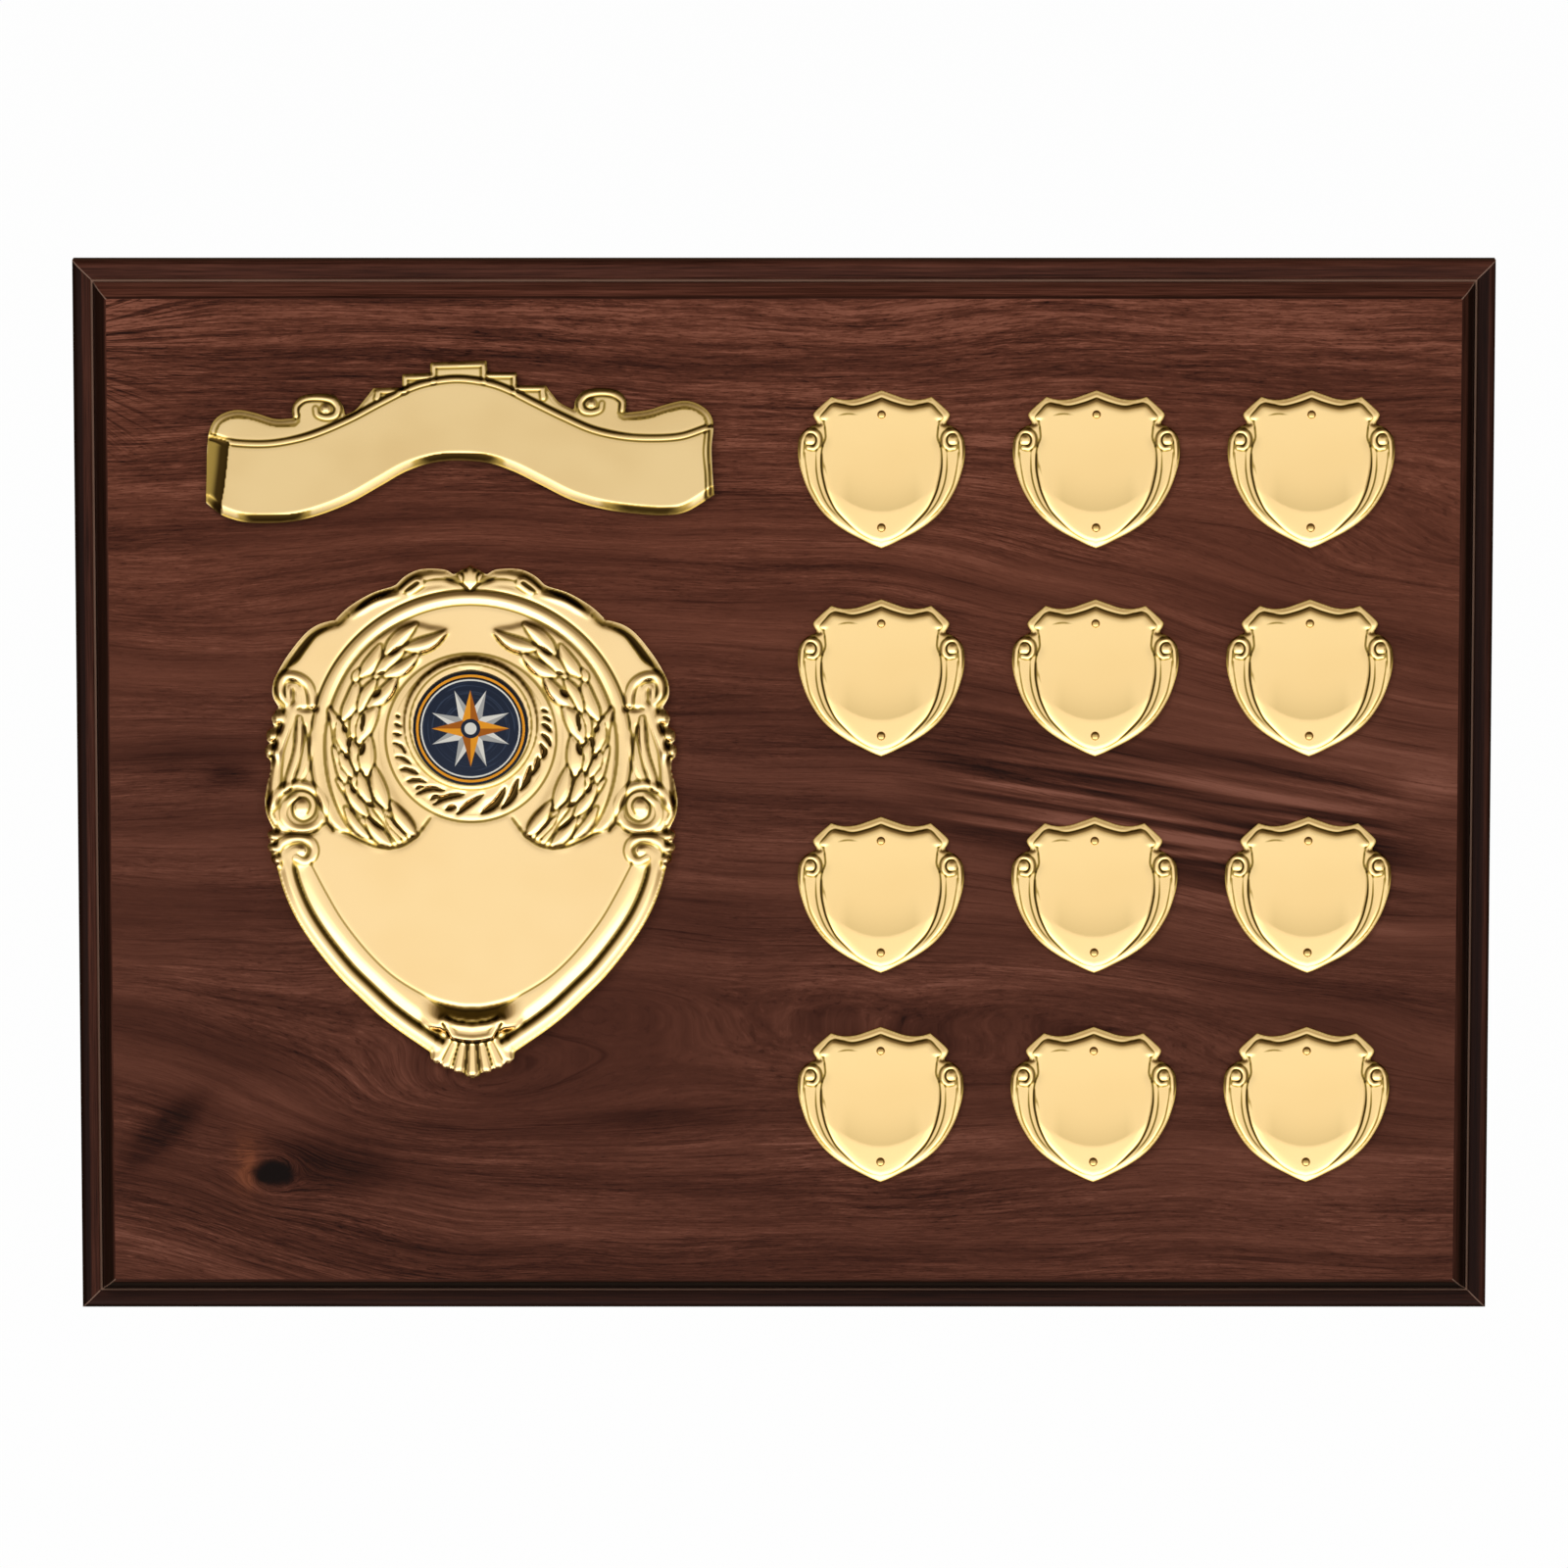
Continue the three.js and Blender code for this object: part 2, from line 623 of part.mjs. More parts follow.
function makeSideShield() {
  const outline = bothHalves(fromShares(sideOutlineShares, sideWidth, sideHeight));
  const field = bothHalves(fromShares(sideFieldShares, sideWidth, sideHeight));
  const directions = outline.map((spot) => spot.clone().normalize());
  const edge = (inset) => (direction) => reach(outline, direction) - inset;
  const inner = (inset) => (direction) => reach(field, direction) - inset;
  const between = (direction) => (edge(sideRimWidth)(direction) + inner(0)(direction)) / 2;
  const level = (height) => () => height;
  const scroll = (direction) => {
    const rest = (sideRimHeight + sideGrooveHeight) / 2;
    return THREE.MathUtils.lerp(rest, sideScrollHeight, sideScrollFullness(direction));
  };
  const rings = [
    ringAt(directions, edge(sideSheet), level(0)),
    ringAt(directions, edge(0), level(0)),
    ringAt(directions, edge(sideRimWidth), level(sideRimHeight)),
    ringAt(directions, between, scroll),
    ringAt(directions, inner(0), level(sideGrooveHeight)),
    ringAt(directions, inner(sideFieldBevel), level(sideFieldHeight)),
  ];
  const backTip = raised(new THREE.Vector2(), sideCrownHeight - sideSheet);
  const frontTip = raised(new THREE.Vector2(), sideCrownHeight);
  const bodies = [solidOfRings(rings, backTip, frontTip)];
  const volute = fromShares([sideVoluteShare], sideWidth, sideHeight);
  for (const [centre] of [volute, mirrored(volute)]) {
    const foot = (sideRimHeight + sideGrooveHeight) / 2;
    const top = sideScrollHeight + sideVoluteHeight;
    const shoulder = sideVoluteRadius * sideVoluteTopShare;
    const profile = [[0, foot], [sideVoluteRadius, foot], [shoulder, top], [0, top]];
    bodies.push(turned(profile, pinSides, centre));
  }
  const bore = holeRadius(pinShankDiameter / 2 + pinClearance, pinHoleSides);
  const holes = [upperPinRise, -lowerPinDrop].map((rise) => {
    const spot = new THREE.Vector2(0, rise);
    const past = sideCrownHeight + overrun;
    const profile = [[0, past], [bore, past], [bore, -overrun], [0, -overrun]];
    return turned(profile, pinHoleSides, spot);
  });
  return geometryOfSolid(joined(bodies).subtract(joined(holes)));
}

// Pins: a low dome on a pointed shank, its head just clear of the crowned field
function pinSeat() {
  return sideFieldHeight + fitGap;
}

function pinDepth() {
  return pinLength - pinSeat();
}

function makePin() {
  const head = pinHeadDiameter / 2;
  const shank = pinShankDiameter / 2;
  const seat = pinSeat();
  const profile = [
    [0, seat + pinHeadHeight],
    [head * pinShoulderShare, seat + pinHeadHeight * pinShoulderShare],
    [head, seat],
    [shank, seat],
    [shank, seat - pinLength + pinShankDiameter],
    [0, seat - pinLength],
  ];
  return geometryOfSolid(turned(profile, pinSides));
}

// Large shield: the stamped sheet
const mainFloor = mainFieldHeight - ornamentSink;

function makeMainSheet() {
  const outline = bothHalves(fromShares(mainOutlineShares, mainWidth, mainHeight));
  const directions = outline.map((spot) => spot.clone().normalize());
  const edge = (inset) => (direction) => reach(outline, direction) - inset;
  // Below the hips a ring follows its own line, and above them it keeps its distance from the edge
  const lined = (shares, inset) => {
    const right = fromShares(shares, mainWidth, mainHeight);
    const line = [...right, ...mirrored(right.slice(0, -1)).reverse()];
    return (direction) => reach(line, direction, false) ?? edge(inset)(direction);
  };
  const crest = lined(mainCrestShares, mainTopCrest);
  const groove = lined(mainGrooveShares, mainTopGroove);
  const field = lined(mainFieldShares, mainTopFlange);
  const level = (height) => () => height;
  return solidOfRings([
    ringAt(directions, field, level(mainFieldHeight - mainSheet)),
    ringAt(directions, edge(mainSheet), level(0)),
    ringAt(directions, edge(0), level(0)),
    ringAt(directions, edge(0), level(mainSkirtHeight)),
    ringAt(directions, crest, level(mainCrestHeight)),
    ringAt(directions, groove, level(mainGrooveHeight)),
    ringAt(directions, field, level(mainFieldHeight)),
  ]);
}

// The double ridge that arches over the wreaths
function makeArch() {
  const middle = new THREE.Vector2(0, archRise);
  const span = Math.PI - 2 * archStart;
  return [-1, 1].map((side) => {
    const radius = archRadius + (side * archRidgeGap) / 2;
    const route = [];
    for (let i = 0; i <= archSteps; i++) {
      const turn = archStart + (span * i) / archSteps;
      const arm = new THREE.Vector2(Math.cos(turn), Math.sin(turn)).multiplyScalar(radius);
      route.push(middle.clone().add(arm));
    }
    const rise = archRidgeHeight + ornamentSink;
    return ridge(route, archRidgeWidth, rise, mainFloor, slimEndShare, leafSectionShares);
  });
}

// The boss: a round step, a collar round the disc, and slanted gadroons in the crescent between
const seatHeight = mainFieldHeight + bossHeight;
const discSeatRadius = discDiameter / 2 + fitGap;

function makeBoss() {
  const bossCentre = new THREE.Vector2(0, bossRise);
  const discCentre = new THREE.Vector2(0, discRise);
  const bossProfile = [
    [0, mainFloor],
    [bossRadius, mainFloor],
    [bossRadius - bossEdge / 2, seatHeight + bossEdge / 2],
    [bossRadius - bossEdge, seatHeight],
    [0, seatHeight],
  ];
  const boss = turned(bossProfile, bossSides, bossCentre);
  const collarTop = mainFieldHeight + collarHeight;
  const collarProfile = [
    [0, mainFloor],
    [discSeatRadius + collarWidth, mainFloor],
    [discSeatRadius + collarWidth / 2, collarTop],
    [0, collarTop],
  ];
  const collar = turned(collarProfile, bossSides, discCentre);
  const gadroons = [];
  for (let i = 0; i < gadroonCount; i++) {
    const share = i / (gadroonCount - 1);
    const turn = Math.PI * (1 + share);
    const inner = discSeatRadius + collarWidth * gadroonRootShare;
    const root = new THREE.Vector2(inner, 0).rotateAround(new THREE.Vector2(), turn);
    const tip = new THREE.Vector2(bossRadius - bossEdge, 0);
    tip.rotateAround(new THREE.Vector2(), turn - gadroonSlant);
    root.add(discCentre);
    tip.add(bossCentre);
    gadroons.push(blade(root, tip, gadroonWidth, gadroonHeight, seatHeight - ornamentSink));
  }
  return [boss, collar, ...gadroons];
}

function makeDiscSeat() {
  const past = seatHeight + collarHeight + overrun;
  const profile = [[0, past], [discSeatRadius, past], [discSeatRadius, mainFieldHeight]];
  profile.push([0, mainFieldHeight]);
  return turned(profile, bossSides, new THREE.Vector2(0, discRise));
}

function leaf(root, angle) {
  const tip = new THREE.Vector2(leafLength, 0).rotateAround(new THREE.Vector2(), angle).add(root);
  return blade(root, tip, leafWidth, leafHeight + ornamentSink, mainFloor);
}

// One wreath, right side: pairs of leaves along a curved stem, and one at its top
function makeWreath(side) {
  const stem = fromShares(wreathShares, mainWidth, mainHeight).map(
    (spot) => new THREE.Vector3(side * spot.x, 0, spot.y),
  );
  const curve = new THREE.CatmullRomCurve3(stem);
  const stemRoute = curve.getPoints(leafCount).map((spot) => new THREE.Vector2(spot.x, spot.z));
  const stemRise = leafHeight / 2 + ornamentSink;
  const leaves = [ridge(stemRoute, stemWidth, stemRise, mainFloor, slimEndShare, leafSectionShares)];
  for (let i = 0; i < leafCount; i++) {
    const share = i / leafCount;
    const spot = curve.getPointAt(share);
    const heading = curve.getTangentAt(share);
    const angle = Math.atan2(heading.z, heading.x);
    const across = new THREE.Vector2(-heading.z, heading.x);
    for (const out of [-1, 1]) {
      const root = new THREE.Vector2(spot.x, spot.z).addScaledVector(across, (out * leafOffset) / 2);
      leaves.push(leaf(root, angle + out * leafSpread));
    }
  }
  return leaves;
}

function makeVolutes(side) {
  const voluteFloor = mainFieldHeight - mainSheet / 2;
  const volutes = [
    [shoulderVoluteShare, shoulderVoluteRadius, shoulderVoluteStart, 1],
    [bigVoluteShare, bigVoluteRadius, bigVoluteStart, -1],
    [smallVoluteShare, smallVoluteRadius, smallVoluteStart, 1],
  ];
  return volutes.flatMap(([share, radius, start, hand]) => {
    const [centre] = sided([share], side);
    const first = side > 0 ? start : Math.PI - start;
    const route = spiral(centre, radius - voluteRidgeWidth / 2, first, side * hand);
    const rise = voluteRidgeHeight + mainFieldHeight - voluteFloor;
    const eye = radius * spiralEyeShare + voluteRidgeWidth / 4;
    return [
      ridge(route, voluteRidgeWidth, rise, voluteFloor, curlEndShare, leafSectionShares),
      bead(centre, eye, mainFieldHeight + voluteRidgeHeight / 2),
    ];
  });
}

function sided(shares, side) {
  const spots = fromShares(shares, mainWidth, mainHeight);
  return side > 0 ? spots : mirrored(spots);
}

function makeSideOrnaments(side) {
  const rise = voluteRidgeHeight + ornamentSink;
  const ribbonLeaf = ridge(sided(ribbonLeafShares, side), ribbonLeafWidth, rise, mainFloor, slimEndShare);
  const rimLeaf = ridge(sided(rimLeafShares, side), rimLeafWidth, rise, mainFloor, slimEndShare);
  const upper = sided(upperBeadShares, side).map((spot) =>
    bead(spot, upperBeadRadius, upperBeadRadius + fitGap),
  );
  const lower = sided(lowerBeadShares, side).map((spot) =>
    bead(spot, lowerBeadRadius, lowerBeadRadius + fitGap),
  );
  return [ribbonLeaf, rimLeaf, ...upper, ...lower];
}

// The scallop shell at the foot, with the cuff over it, and the small palmette at the top
function makeShell() {
  const [root] = fromShares([shellRootShare], mainWidth, mainHeight);
  const right = fromShares(fluteTipShares, mainWidth, mainHeight);
  const tips = [...right, ...mirrored(right.slice(1))];
  const floor = fitGap;
  const flutes = tips.map((tip) => {
    const reached = fluteStationShares.map((share) => root.clone().lerp(tip, share));
    const rise = fluteHeight + mainFieldHeight;
    return ridge(reached, fluteWidth, rise, floor, curlEndShare, leafSectionShares);
  });
  const cuffRoute = fromShares(cuffShares, mainWidth, mainHeight);
  const cuff = ridge(cuffRoute, cuffWidth, cuffHeight + mainSheet, mainFloor - mainSheet, curlEndShare);
  const petals = palmetteShares.flatMap(([start, end]) =>
    [1, -1].slice(0, start[0] > 0 ? 2 : 1).map((side) => {
      const [root, tip] = sided([start, end], side);
      return blade(root, tip, palmetteWidth, mainCrestHeight + voluteRidgeHeight, fitGap);
    }),
  );
  return [...flutes, cuff, ...petals];
}

function makeMainShield() {
  const ornaments = [makeArch(), makeBoss(), makeShell()].flat();
  for (const side of [1, -1]) {
    ornaments.push(...makeWreath(side), ...makeVolutes(side), ...makeSideOrnaments(side));
  }
  const whole = makeMainSheet().add(joined(ornaments));
  return geometryOfSolid(whole.subtract(makeDiscSeat()));
}

// Title scroll: sections across the ribbon, lofted from one end to the other
function valueAt(line, u) {
  const place = Math.abs(u);
  for (let i = 1; i < line.length; i++) {
    if (place <= line[i].x || i === line.length - 1) {
      const share = (place - line[i - 1].x) / (line[i].x - line[i - 1].x);
      return THREE.MathUtils.lerp(line[i - 1].y, line[i].y, share);
    }
  }
  return line[0].y;
}

function scrollSection(u, lines, closing) {
  const bottom = valueAt(lines.bottom, u);
  const lower = valueAt(lines.lower, u);
  const ribbon = valueAt(lines.ribbon, u);
  const top = valueAt(lines.top, u);
  const rolled = Math.abs(u) > (scrollRollStartShare * scrollWidth) / 2;
  const crest = rolled ? scrollRollHeight : scrollCrestHeight;
  const ridgeLine = ribbon + scrollRidgeOffset;
  const face = closing ? scrollSkirtHeight : scrollFaceHeight;
  const back = closing ? 0 : scrollFaceHeight - scrollSheet;
  const section = [
    [bottom, 0],
    [bottom, scrollSkirtHeight],
    [lower, face],
    [ribbon, face],
    [ribbon + scrollGrooveWidth, closing ? face : face - scrollGrooveDepth],
    [ridgeLine, closing ? face : scrollRidgeHeight],
    [(ridgeLine + top) / 2, closing ? face : crest],
    [top, scrollSkirtHeight],
    [top, 0],
    [top - scrollSheet, 0],
    [ribbon, back],
    [lower, back],
    [bottom + scrollSheet, 0],
  ];
  return section.map(([w, height]) => raised(new THREE.Vector2(u, w), height));
}

function makeTitleScroll() {
  const lineOf = (shares) => fromShares(shares, scrollWidth, scrollHeight);
  const lines = {
    top: lineOf(scrollTopShares),
    bottom: lineOf(scrollBottomShares),
    ribbon: lineOf(scrollRibbonShares),
    lower: lineOf(scrollLowerShares),
  };
  const half = lines.top.map((spot) => spot.x);
  const end = half.at(-1);
  const stations = [...half.slice(1, -1), end - scrollSheet];
  const places = [...stations.map((u) => -u).reverse(), 0, ...stations];
  const sections = places.map((u) => scrollSection(u, lines, false));
  sections.unshift(scrollSection(-end, lines, true));
  sections.push(scrollSection(end, lines, true));
  const bodies = [solidOfRings(sections)];
  const floor = scrollFaceHeight - scrollSheet;
  for (const side of [1, -1]) {
    const spots = (shares) => shares.map(([u, w]) => new THREE.Vector2(
      (side * u * scrollWidth) / 2,
      (w * scrollHeight) / 2,
    ));
    const [centre] = spots([scrollVoluteCentreShare]);
    const [reachShare, riseShare] = scrollVoluteRadiusShares;
    const squash = (reachShare * scrollWidth) / (riseShare * scrollHeight);
    const round = spiral(new THREE.Vector2(), (riseShare * scrollHeight) / 2, scrollVoluteStart, 1);
    const route = round.map((spot) => new THREE.Vector2(side * spot.x * squash, spot.y).add(centre));
    const curl = ridge(
      route,
      scrollVoluteWidth,
      scrollVoluteHeight,
      floor,
      curlEndShare,
      leafSectionShares,
    );
    const frame = ridge(
      spots(scrollStepFrameShares),
      scrollFrameWidth,
      scrollFrameHeight,
      floor,
      squareEndShare,
      leafSectionShares,
    );
    const band = ridge(
      spots(scrollEndBandShares),
      scrollEndBandWidth,
      scrollEndBandHeight + scrollSheet,
      floor,
      curlEndShare,
    );
    bodies.push(curl, frame, band);
  }
  return geometryOfSolid(joined(bodies));
}

// A place given in a stamping's own shares, on the board, with the stamping's tilt
function onBoard(share, width, height, centre, turn = 0) {
  const [spot] = fromShares([share], width, height);
  return spot.rotateAround(new THREE.Vector2(), -turn).add(centre);
}

// The assembly
place("panel", makePanel(), wood, 0, 0, 0);
const wideRail = rail(boardWidth);
const tallRail = rail(boardHeight);
place("bottom_rail", wideRail, edgeWood, 0, 0, -boardHeight / 2);
place("top_rail", wideRail, edgeWood, 0, 0, boardHeight / 2, Math.PI);
place("right_rail", tallRail, edgeWood, boardWidth / 2, 0, 0, -Math.PI / 2);
place("left_rail", tallRail, edgeWood, -boardWidth / 2, 0, 0, Math.PI / 2);

place("keyhole_plate", makeKeyholePlate(), steel, 0, 0, hangerZ);
const screw = makeScrew();
place("upper_hanger_screw", screw, steel, 0, 0, hangerZ + screwSpacing / 2);
place("lower_hanger_screw", screw, steel, 0, 0, hangerZ - screwSpacing / 2);

const [mainCentre] = fromShares([mainCentreShare], boardWidth, boardHeight);
place("main_shield", makeMainShield(), gilt, mainCentre.x, faceY, mainCentre.y);
const discZ = mainCentre.y + discRise;
const discHalf = discDiameter / 2;
const adhesiveTop = mainFieldHeight + adhesiveThickness;
const adhesiveProfile = [[0, adhesiveTop], [discHalf, adhesiveTop], [discHalf, mainFieldHeight]];
adhesiveProfile.push([0, mainFieldHeight]);
const adhesive = geometryOfSolid(turned(adhesiveProfile, bossSides));
place("disc_adhesive", adhesive, foam, mainCentre.x, faceY, discZ);
const discTop = adhesiveTop + discThickness;
const discProfile = [[0, discTop], [discHalf - discBevel, discTop], [discHalf, discTop - discBevel]];
discProfile.push([discHalf, adhesiveTop], [0, adhesiveTop]);
const disc = geometryOfSolid(turned(discProfile, bossSides));
place("centre_disc", disc, print, mainCentre.x, faceY, discZ);

const shieldPadThickness = mainFieldHeight - mainSheet;
const tallPad = box(shieldPadWidth, shieldPadHeight, shieldPadThickness, 0, 0, 0);
["shield_pad_left", "shield_pad_right"].forEach((name, i) => {
  const share = shieldPadShares[i];
  const spot = onBoard(share, mainWidth, mainHeight, mainCentre);
  place(name, tallPad, foam, spot.x, faceY, spot.y);
});
const lowerPad = box(lowerPadWidth, lowerPadHeight, shieldPadThickness, 0, 0, 0);
const lowerSpot = onBoard(lowerPadShare, mainWidth, mainHeight, mainCentre);
place("shield_pad_lower", lowerPad, foam, lowerSpot.x, faceY, lowerSpot.y);

const [scrollCentre] = fromShares([scrollCentreShare], boardWidth, boardHeight);
place("title_scroll", makeTitleScroll(), gilt, scrollCentre.x, faceY, scrollCentre.y, scrollTurn);
const scrollPadThickness = scrollFaceHeight - scrollSheet;
const scrollPad = box(scrollPadLength, scrollPadHeight, scrollPadThickness, 0, 0, 0);
["scroll_pad_left", "scroll_pad_middle", "scroll_pad_right"].forEach((name, i) => {
  const share = scrollPadShares[i];
  const spot = onBoard(share, scrollWidth, scrollHeight, scrollCentre, scrollTurn);
  place(name, scrollPad, foam, spot.x, faceY, spot.y, scrollTurn);
});

const sideShield = makeSideShield();
const pin = makePin();
sidePlaces().forEach((spot, i) => {
  const label = String(i + 1).padStart(2, "0");
  place("side_shield_" + label, sideShield, gilt, spot.x, faceY, spot.y);
  place("upper_pin_" + label, pin, gilt, spot.x, faceY, spot.y + upperPinRise);
  place("lower_pin_" + label, pin, gilt, spot.x, faceY, spot.y - lowerPinDrop);
});

export default plaque;
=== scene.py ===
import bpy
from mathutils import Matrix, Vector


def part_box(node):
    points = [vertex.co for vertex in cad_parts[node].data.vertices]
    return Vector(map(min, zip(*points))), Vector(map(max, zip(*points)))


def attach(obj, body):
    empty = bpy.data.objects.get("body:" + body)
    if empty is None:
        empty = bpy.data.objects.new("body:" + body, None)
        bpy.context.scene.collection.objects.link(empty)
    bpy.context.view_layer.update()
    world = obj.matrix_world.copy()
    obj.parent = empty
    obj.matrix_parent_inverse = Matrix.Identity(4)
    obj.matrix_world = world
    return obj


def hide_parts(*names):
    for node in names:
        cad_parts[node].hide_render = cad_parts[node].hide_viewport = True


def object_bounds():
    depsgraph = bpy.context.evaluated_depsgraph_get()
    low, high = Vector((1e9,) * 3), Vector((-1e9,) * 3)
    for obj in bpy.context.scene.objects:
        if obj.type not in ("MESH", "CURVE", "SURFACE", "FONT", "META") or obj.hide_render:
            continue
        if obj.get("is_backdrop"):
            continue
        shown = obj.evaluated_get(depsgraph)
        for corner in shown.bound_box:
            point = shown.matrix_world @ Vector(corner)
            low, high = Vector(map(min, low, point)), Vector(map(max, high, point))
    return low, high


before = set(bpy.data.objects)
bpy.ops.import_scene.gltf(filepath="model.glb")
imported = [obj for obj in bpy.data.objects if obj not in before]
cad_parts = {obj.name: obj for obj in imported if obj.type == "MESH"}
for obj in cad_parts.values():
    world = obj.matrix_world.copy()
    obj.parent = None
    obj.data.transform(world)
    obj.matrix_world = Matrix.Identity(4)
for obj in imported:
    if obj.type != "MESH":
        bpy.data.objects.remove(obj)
cad_box = [list(corner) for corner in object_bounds()]

from math import cos, hypot, pi, radians, sin

import bpy
import numpy as np

MM = 0.001


# The view: the plaque is photographed from straight ahead and a little above, with a long lens,
# so its sides stay almost parallel. The camera looks at the middle of the board.
VIEW_DISTANCE = 2337.6 * MM
VIEW_RISE = radians(8.97)
VIEW_LENS = 248.3
VIEW_REACH = 50

camera = bpy.data.objects.new("camera", bpy.data.cameras.new("camera"))
camera.data.lens = VIEW_LENS
camera.data.clip_end = VIEW_REACH
camera.location = (0, -VIEW_DISTANCE * cos(VIEW_RISE), VIEW_DISTANCE * sin(VIEW_RISE))
camera.rotation_euler = (pi / 2 - VIEW_RISE, 0, 0)
bpy.context.scene.collection.objects.link(camera)
bpy.context.scene.camera = camera
bpy.context.scene.view_settings.view_transform = "Standard"


# The studio: a white table, and low in front of it broad soft white cards that the polished metal
# mirrors. Above, beside and behind the plaque the room grows dim. Two large soft lamps light the
# front from the left and the right. Angles are in degrees, rise from the horizon, turn from the front.
WHITE = (1, 1, 1, 1)
CARD_LEVELS = [
    (-90, 0.03), (-78, 0.08), (-66, 0.40), (-56, 0.85), (-46, 1.0), (-32, 1.0), (-24, 0.60),
    (-17, 0.42), (-14, 0.392), (-9, 0.373), (-4, 0.352), (0, 0.335), (10, 0.29), (20, 0.21),
    (30, 0.12), (40, 0.068), (52, 0.04), (70, 0.02), (90, 0.015)]
SIDE_LEVELS = [
    (-180, 0.12), (-110, 0.10), (-90, 0.10), (-76, 0.16), (-62, 0.45), (-50, 0.85), (-38, 1.0),
    (36, 1.0), (48, 0.8), (62, 0.36), (76, 0.18), (90, 0.12), (110, 0.10), (180, 0.12)]
CARD_STRENGTH = 2.8
CARD_TINTS = [(0.0, (1, 0.70, 0.34, 1)), (0.14, (1, 0.88, 0.68, 1)), (0.36, WHITE)]
TABLE_HALF, TABLE_GAP = 12, 0.2 * MM
TABLE_COLOUR, TABLE_ROUGHNESS, TABLE_GLOW = (0.9, 0.9, 0.9, 1), 0.8, 0.985
LAMPS = {"key_light": ((-1.0, -2.4, 2.0), 1.6, 42), "fill_light": ((1.6, -2.6, 0.9), 1.8, 14)}


class Wire:
    """A value in a material. Each sum with it adds the Math node that works it out."""

    def __init__(self, finish, socket):
        self.finish, self.socket = finish, socket

    def math(self, operation, *values):
        return self.finish.node("Math", {"operation": operation}, values)

    def __abs__(self):
        return self.math("ABSOLUTE", self)

    def way_of(operation, other_first=False):
        """The method for one operation on this value and another, which may come first."""
        def work_out(self, other):
            return self.math(operation, *((other, self) if other_first else (self, other)))
        return work_out

    __add__ = __radd__ = way_of("ADD")
    __mul__ = __rmul__ = way_of("MULTIPLY")
    __sub__, __rsub__ = way_of("SUBTRACT"), way_of("SUBTRACT", other_first=True)
    __truediv__, __rtruediv__ = way_of("DIVIDE"), way_of("DIVIDE", other_first=True)
    __pow__, least = way_of("POWER"), way_of("MINIMUM")
    __gt__, __lt__ = way_of("GREATER_THAN"), way_of("LESS_THAN")


class Finish:
    """The nodes of one material or of the world."""

    def __init__(self, owner):
        owner.use_nodes = True
        self.owner, self.tree = owner, owner.node_tree
        self.tree.nodes.clear()

    def node(self, kind, settings=None, values=(), output=0):
        """Adds a node: its settings first, then the values or links of its sockets."""
        made = self.tree.nodes.new("ShaderNode" + kind)
        for name, setting in (settings or {}).items():
            if name == "stops":
                ramp = made.color_ramp.elements
                while len(ramp) < len(setting):
                    ramp.new(1)
                for stop, (place, colour) in zip(ramp, setting):
                    stop.position = place
                    stop.color = colour if hasattr(colour, "__len__") else (colour,) * 3 + (1,)
            else:
                setattr(made, name, setting)
        pairs = values.items() if isinstance(values, dict) else enumerate(values)
        for name, value in pairs:
            if isinstance(value, Wire):
                self.tree.links.new(value.socket, made.inputs[name])
            elif value is not None:
                made.inputs[name].default_value = value
        return Wire(self, made.outputs[output]) if len(made.outputs) else None

    def place(self):
        """The place on the piece, as three values in millimetres."""
        at = self.node("TexCoord", output="Object")
        split = [self.node("SeparateXYZ", values=[at], output=axis) for axis in range(3)]
        return [value / MM for value in split]

    def vector(self, *values):
        return self.node("CombineXYZ", values=values)

    def noise(self, at, detail=4.0, roughness=0.55, distortion=0.0):
        return self.node(
            "TexNoise", {"noise_dimensions": "3D"},
            {"Vector": at, "Scale": 1.0, "Detail": detail, "Roughness": roughness,
             "Distortion": distortion},
        )

    def between(self, value, low, high):
        """0 where the value is at low, 1 at high, and a soft step between. Low may be above high."""
        return self.node(
            "MapRange", {"interpolation_type": "SMOOTHSTEP"},
            {"Value": value, "From Min": low, "From Max": high},
        )

    def mix(self, share, first, second, way="MIX"):
        """A colour between first and second."""
        return self.node(
            "Mix", {"data_type": "RGBA", "blend_type": way}, {0: share, 6: first, 7: second}, 2)

    def ramp(self, value, stops, way="EASE"):
        made = self.node("ValToRGB", {"stops": stops}, [value])
        made.socket.node.color_ramp.interpolation = way
        return made

    def surface(self, shader, output="OutputMaterial"):
        self.node(output, values=[shader])
        return self.owner


def levels(table, low, high):
    return [((angle - low) / (high - low), level) for angle, level in table]


room = Finish(bpy.data.worlds.new("studio"))
bpy.context.scene.world = room.owner
ways = room.node("TexCoord", output="Generated")
across, deep, up = (room.node("SeparateXYZ", values=[ways], output=axis) for axis in range(3))
rise = up.math("ARCSINE", up) * (180 / pi)
turn = across.math("ARCTAN2", across, 0 - deep) * (180 / pi)
by_rise = room.ramp((rise + 90) / 180, levels(CARD_LEVELS, -90, 90))
by_turn = room.ramp((turn + 180) / 360, levels(SIDE_LEVELS, -180, 180))
card_level = room.mix(1.0, by_rise, by_turn, "MULTIPLY")
card_colour = room.mix(1.0, card_level, room.ramp(card_level, CARD_TINTS), "MULTIPLY")
cards = room.node("Background", values=[card_colour, CARD_STRENGTH])
plain = room.node("Background", values=[WHITE, 1.0])
seen = room.node("LightPath", output="Is Camera Ray")
room.surface(room.node("MixShader", values=[seen, cards, plain]), "OutputWorld")

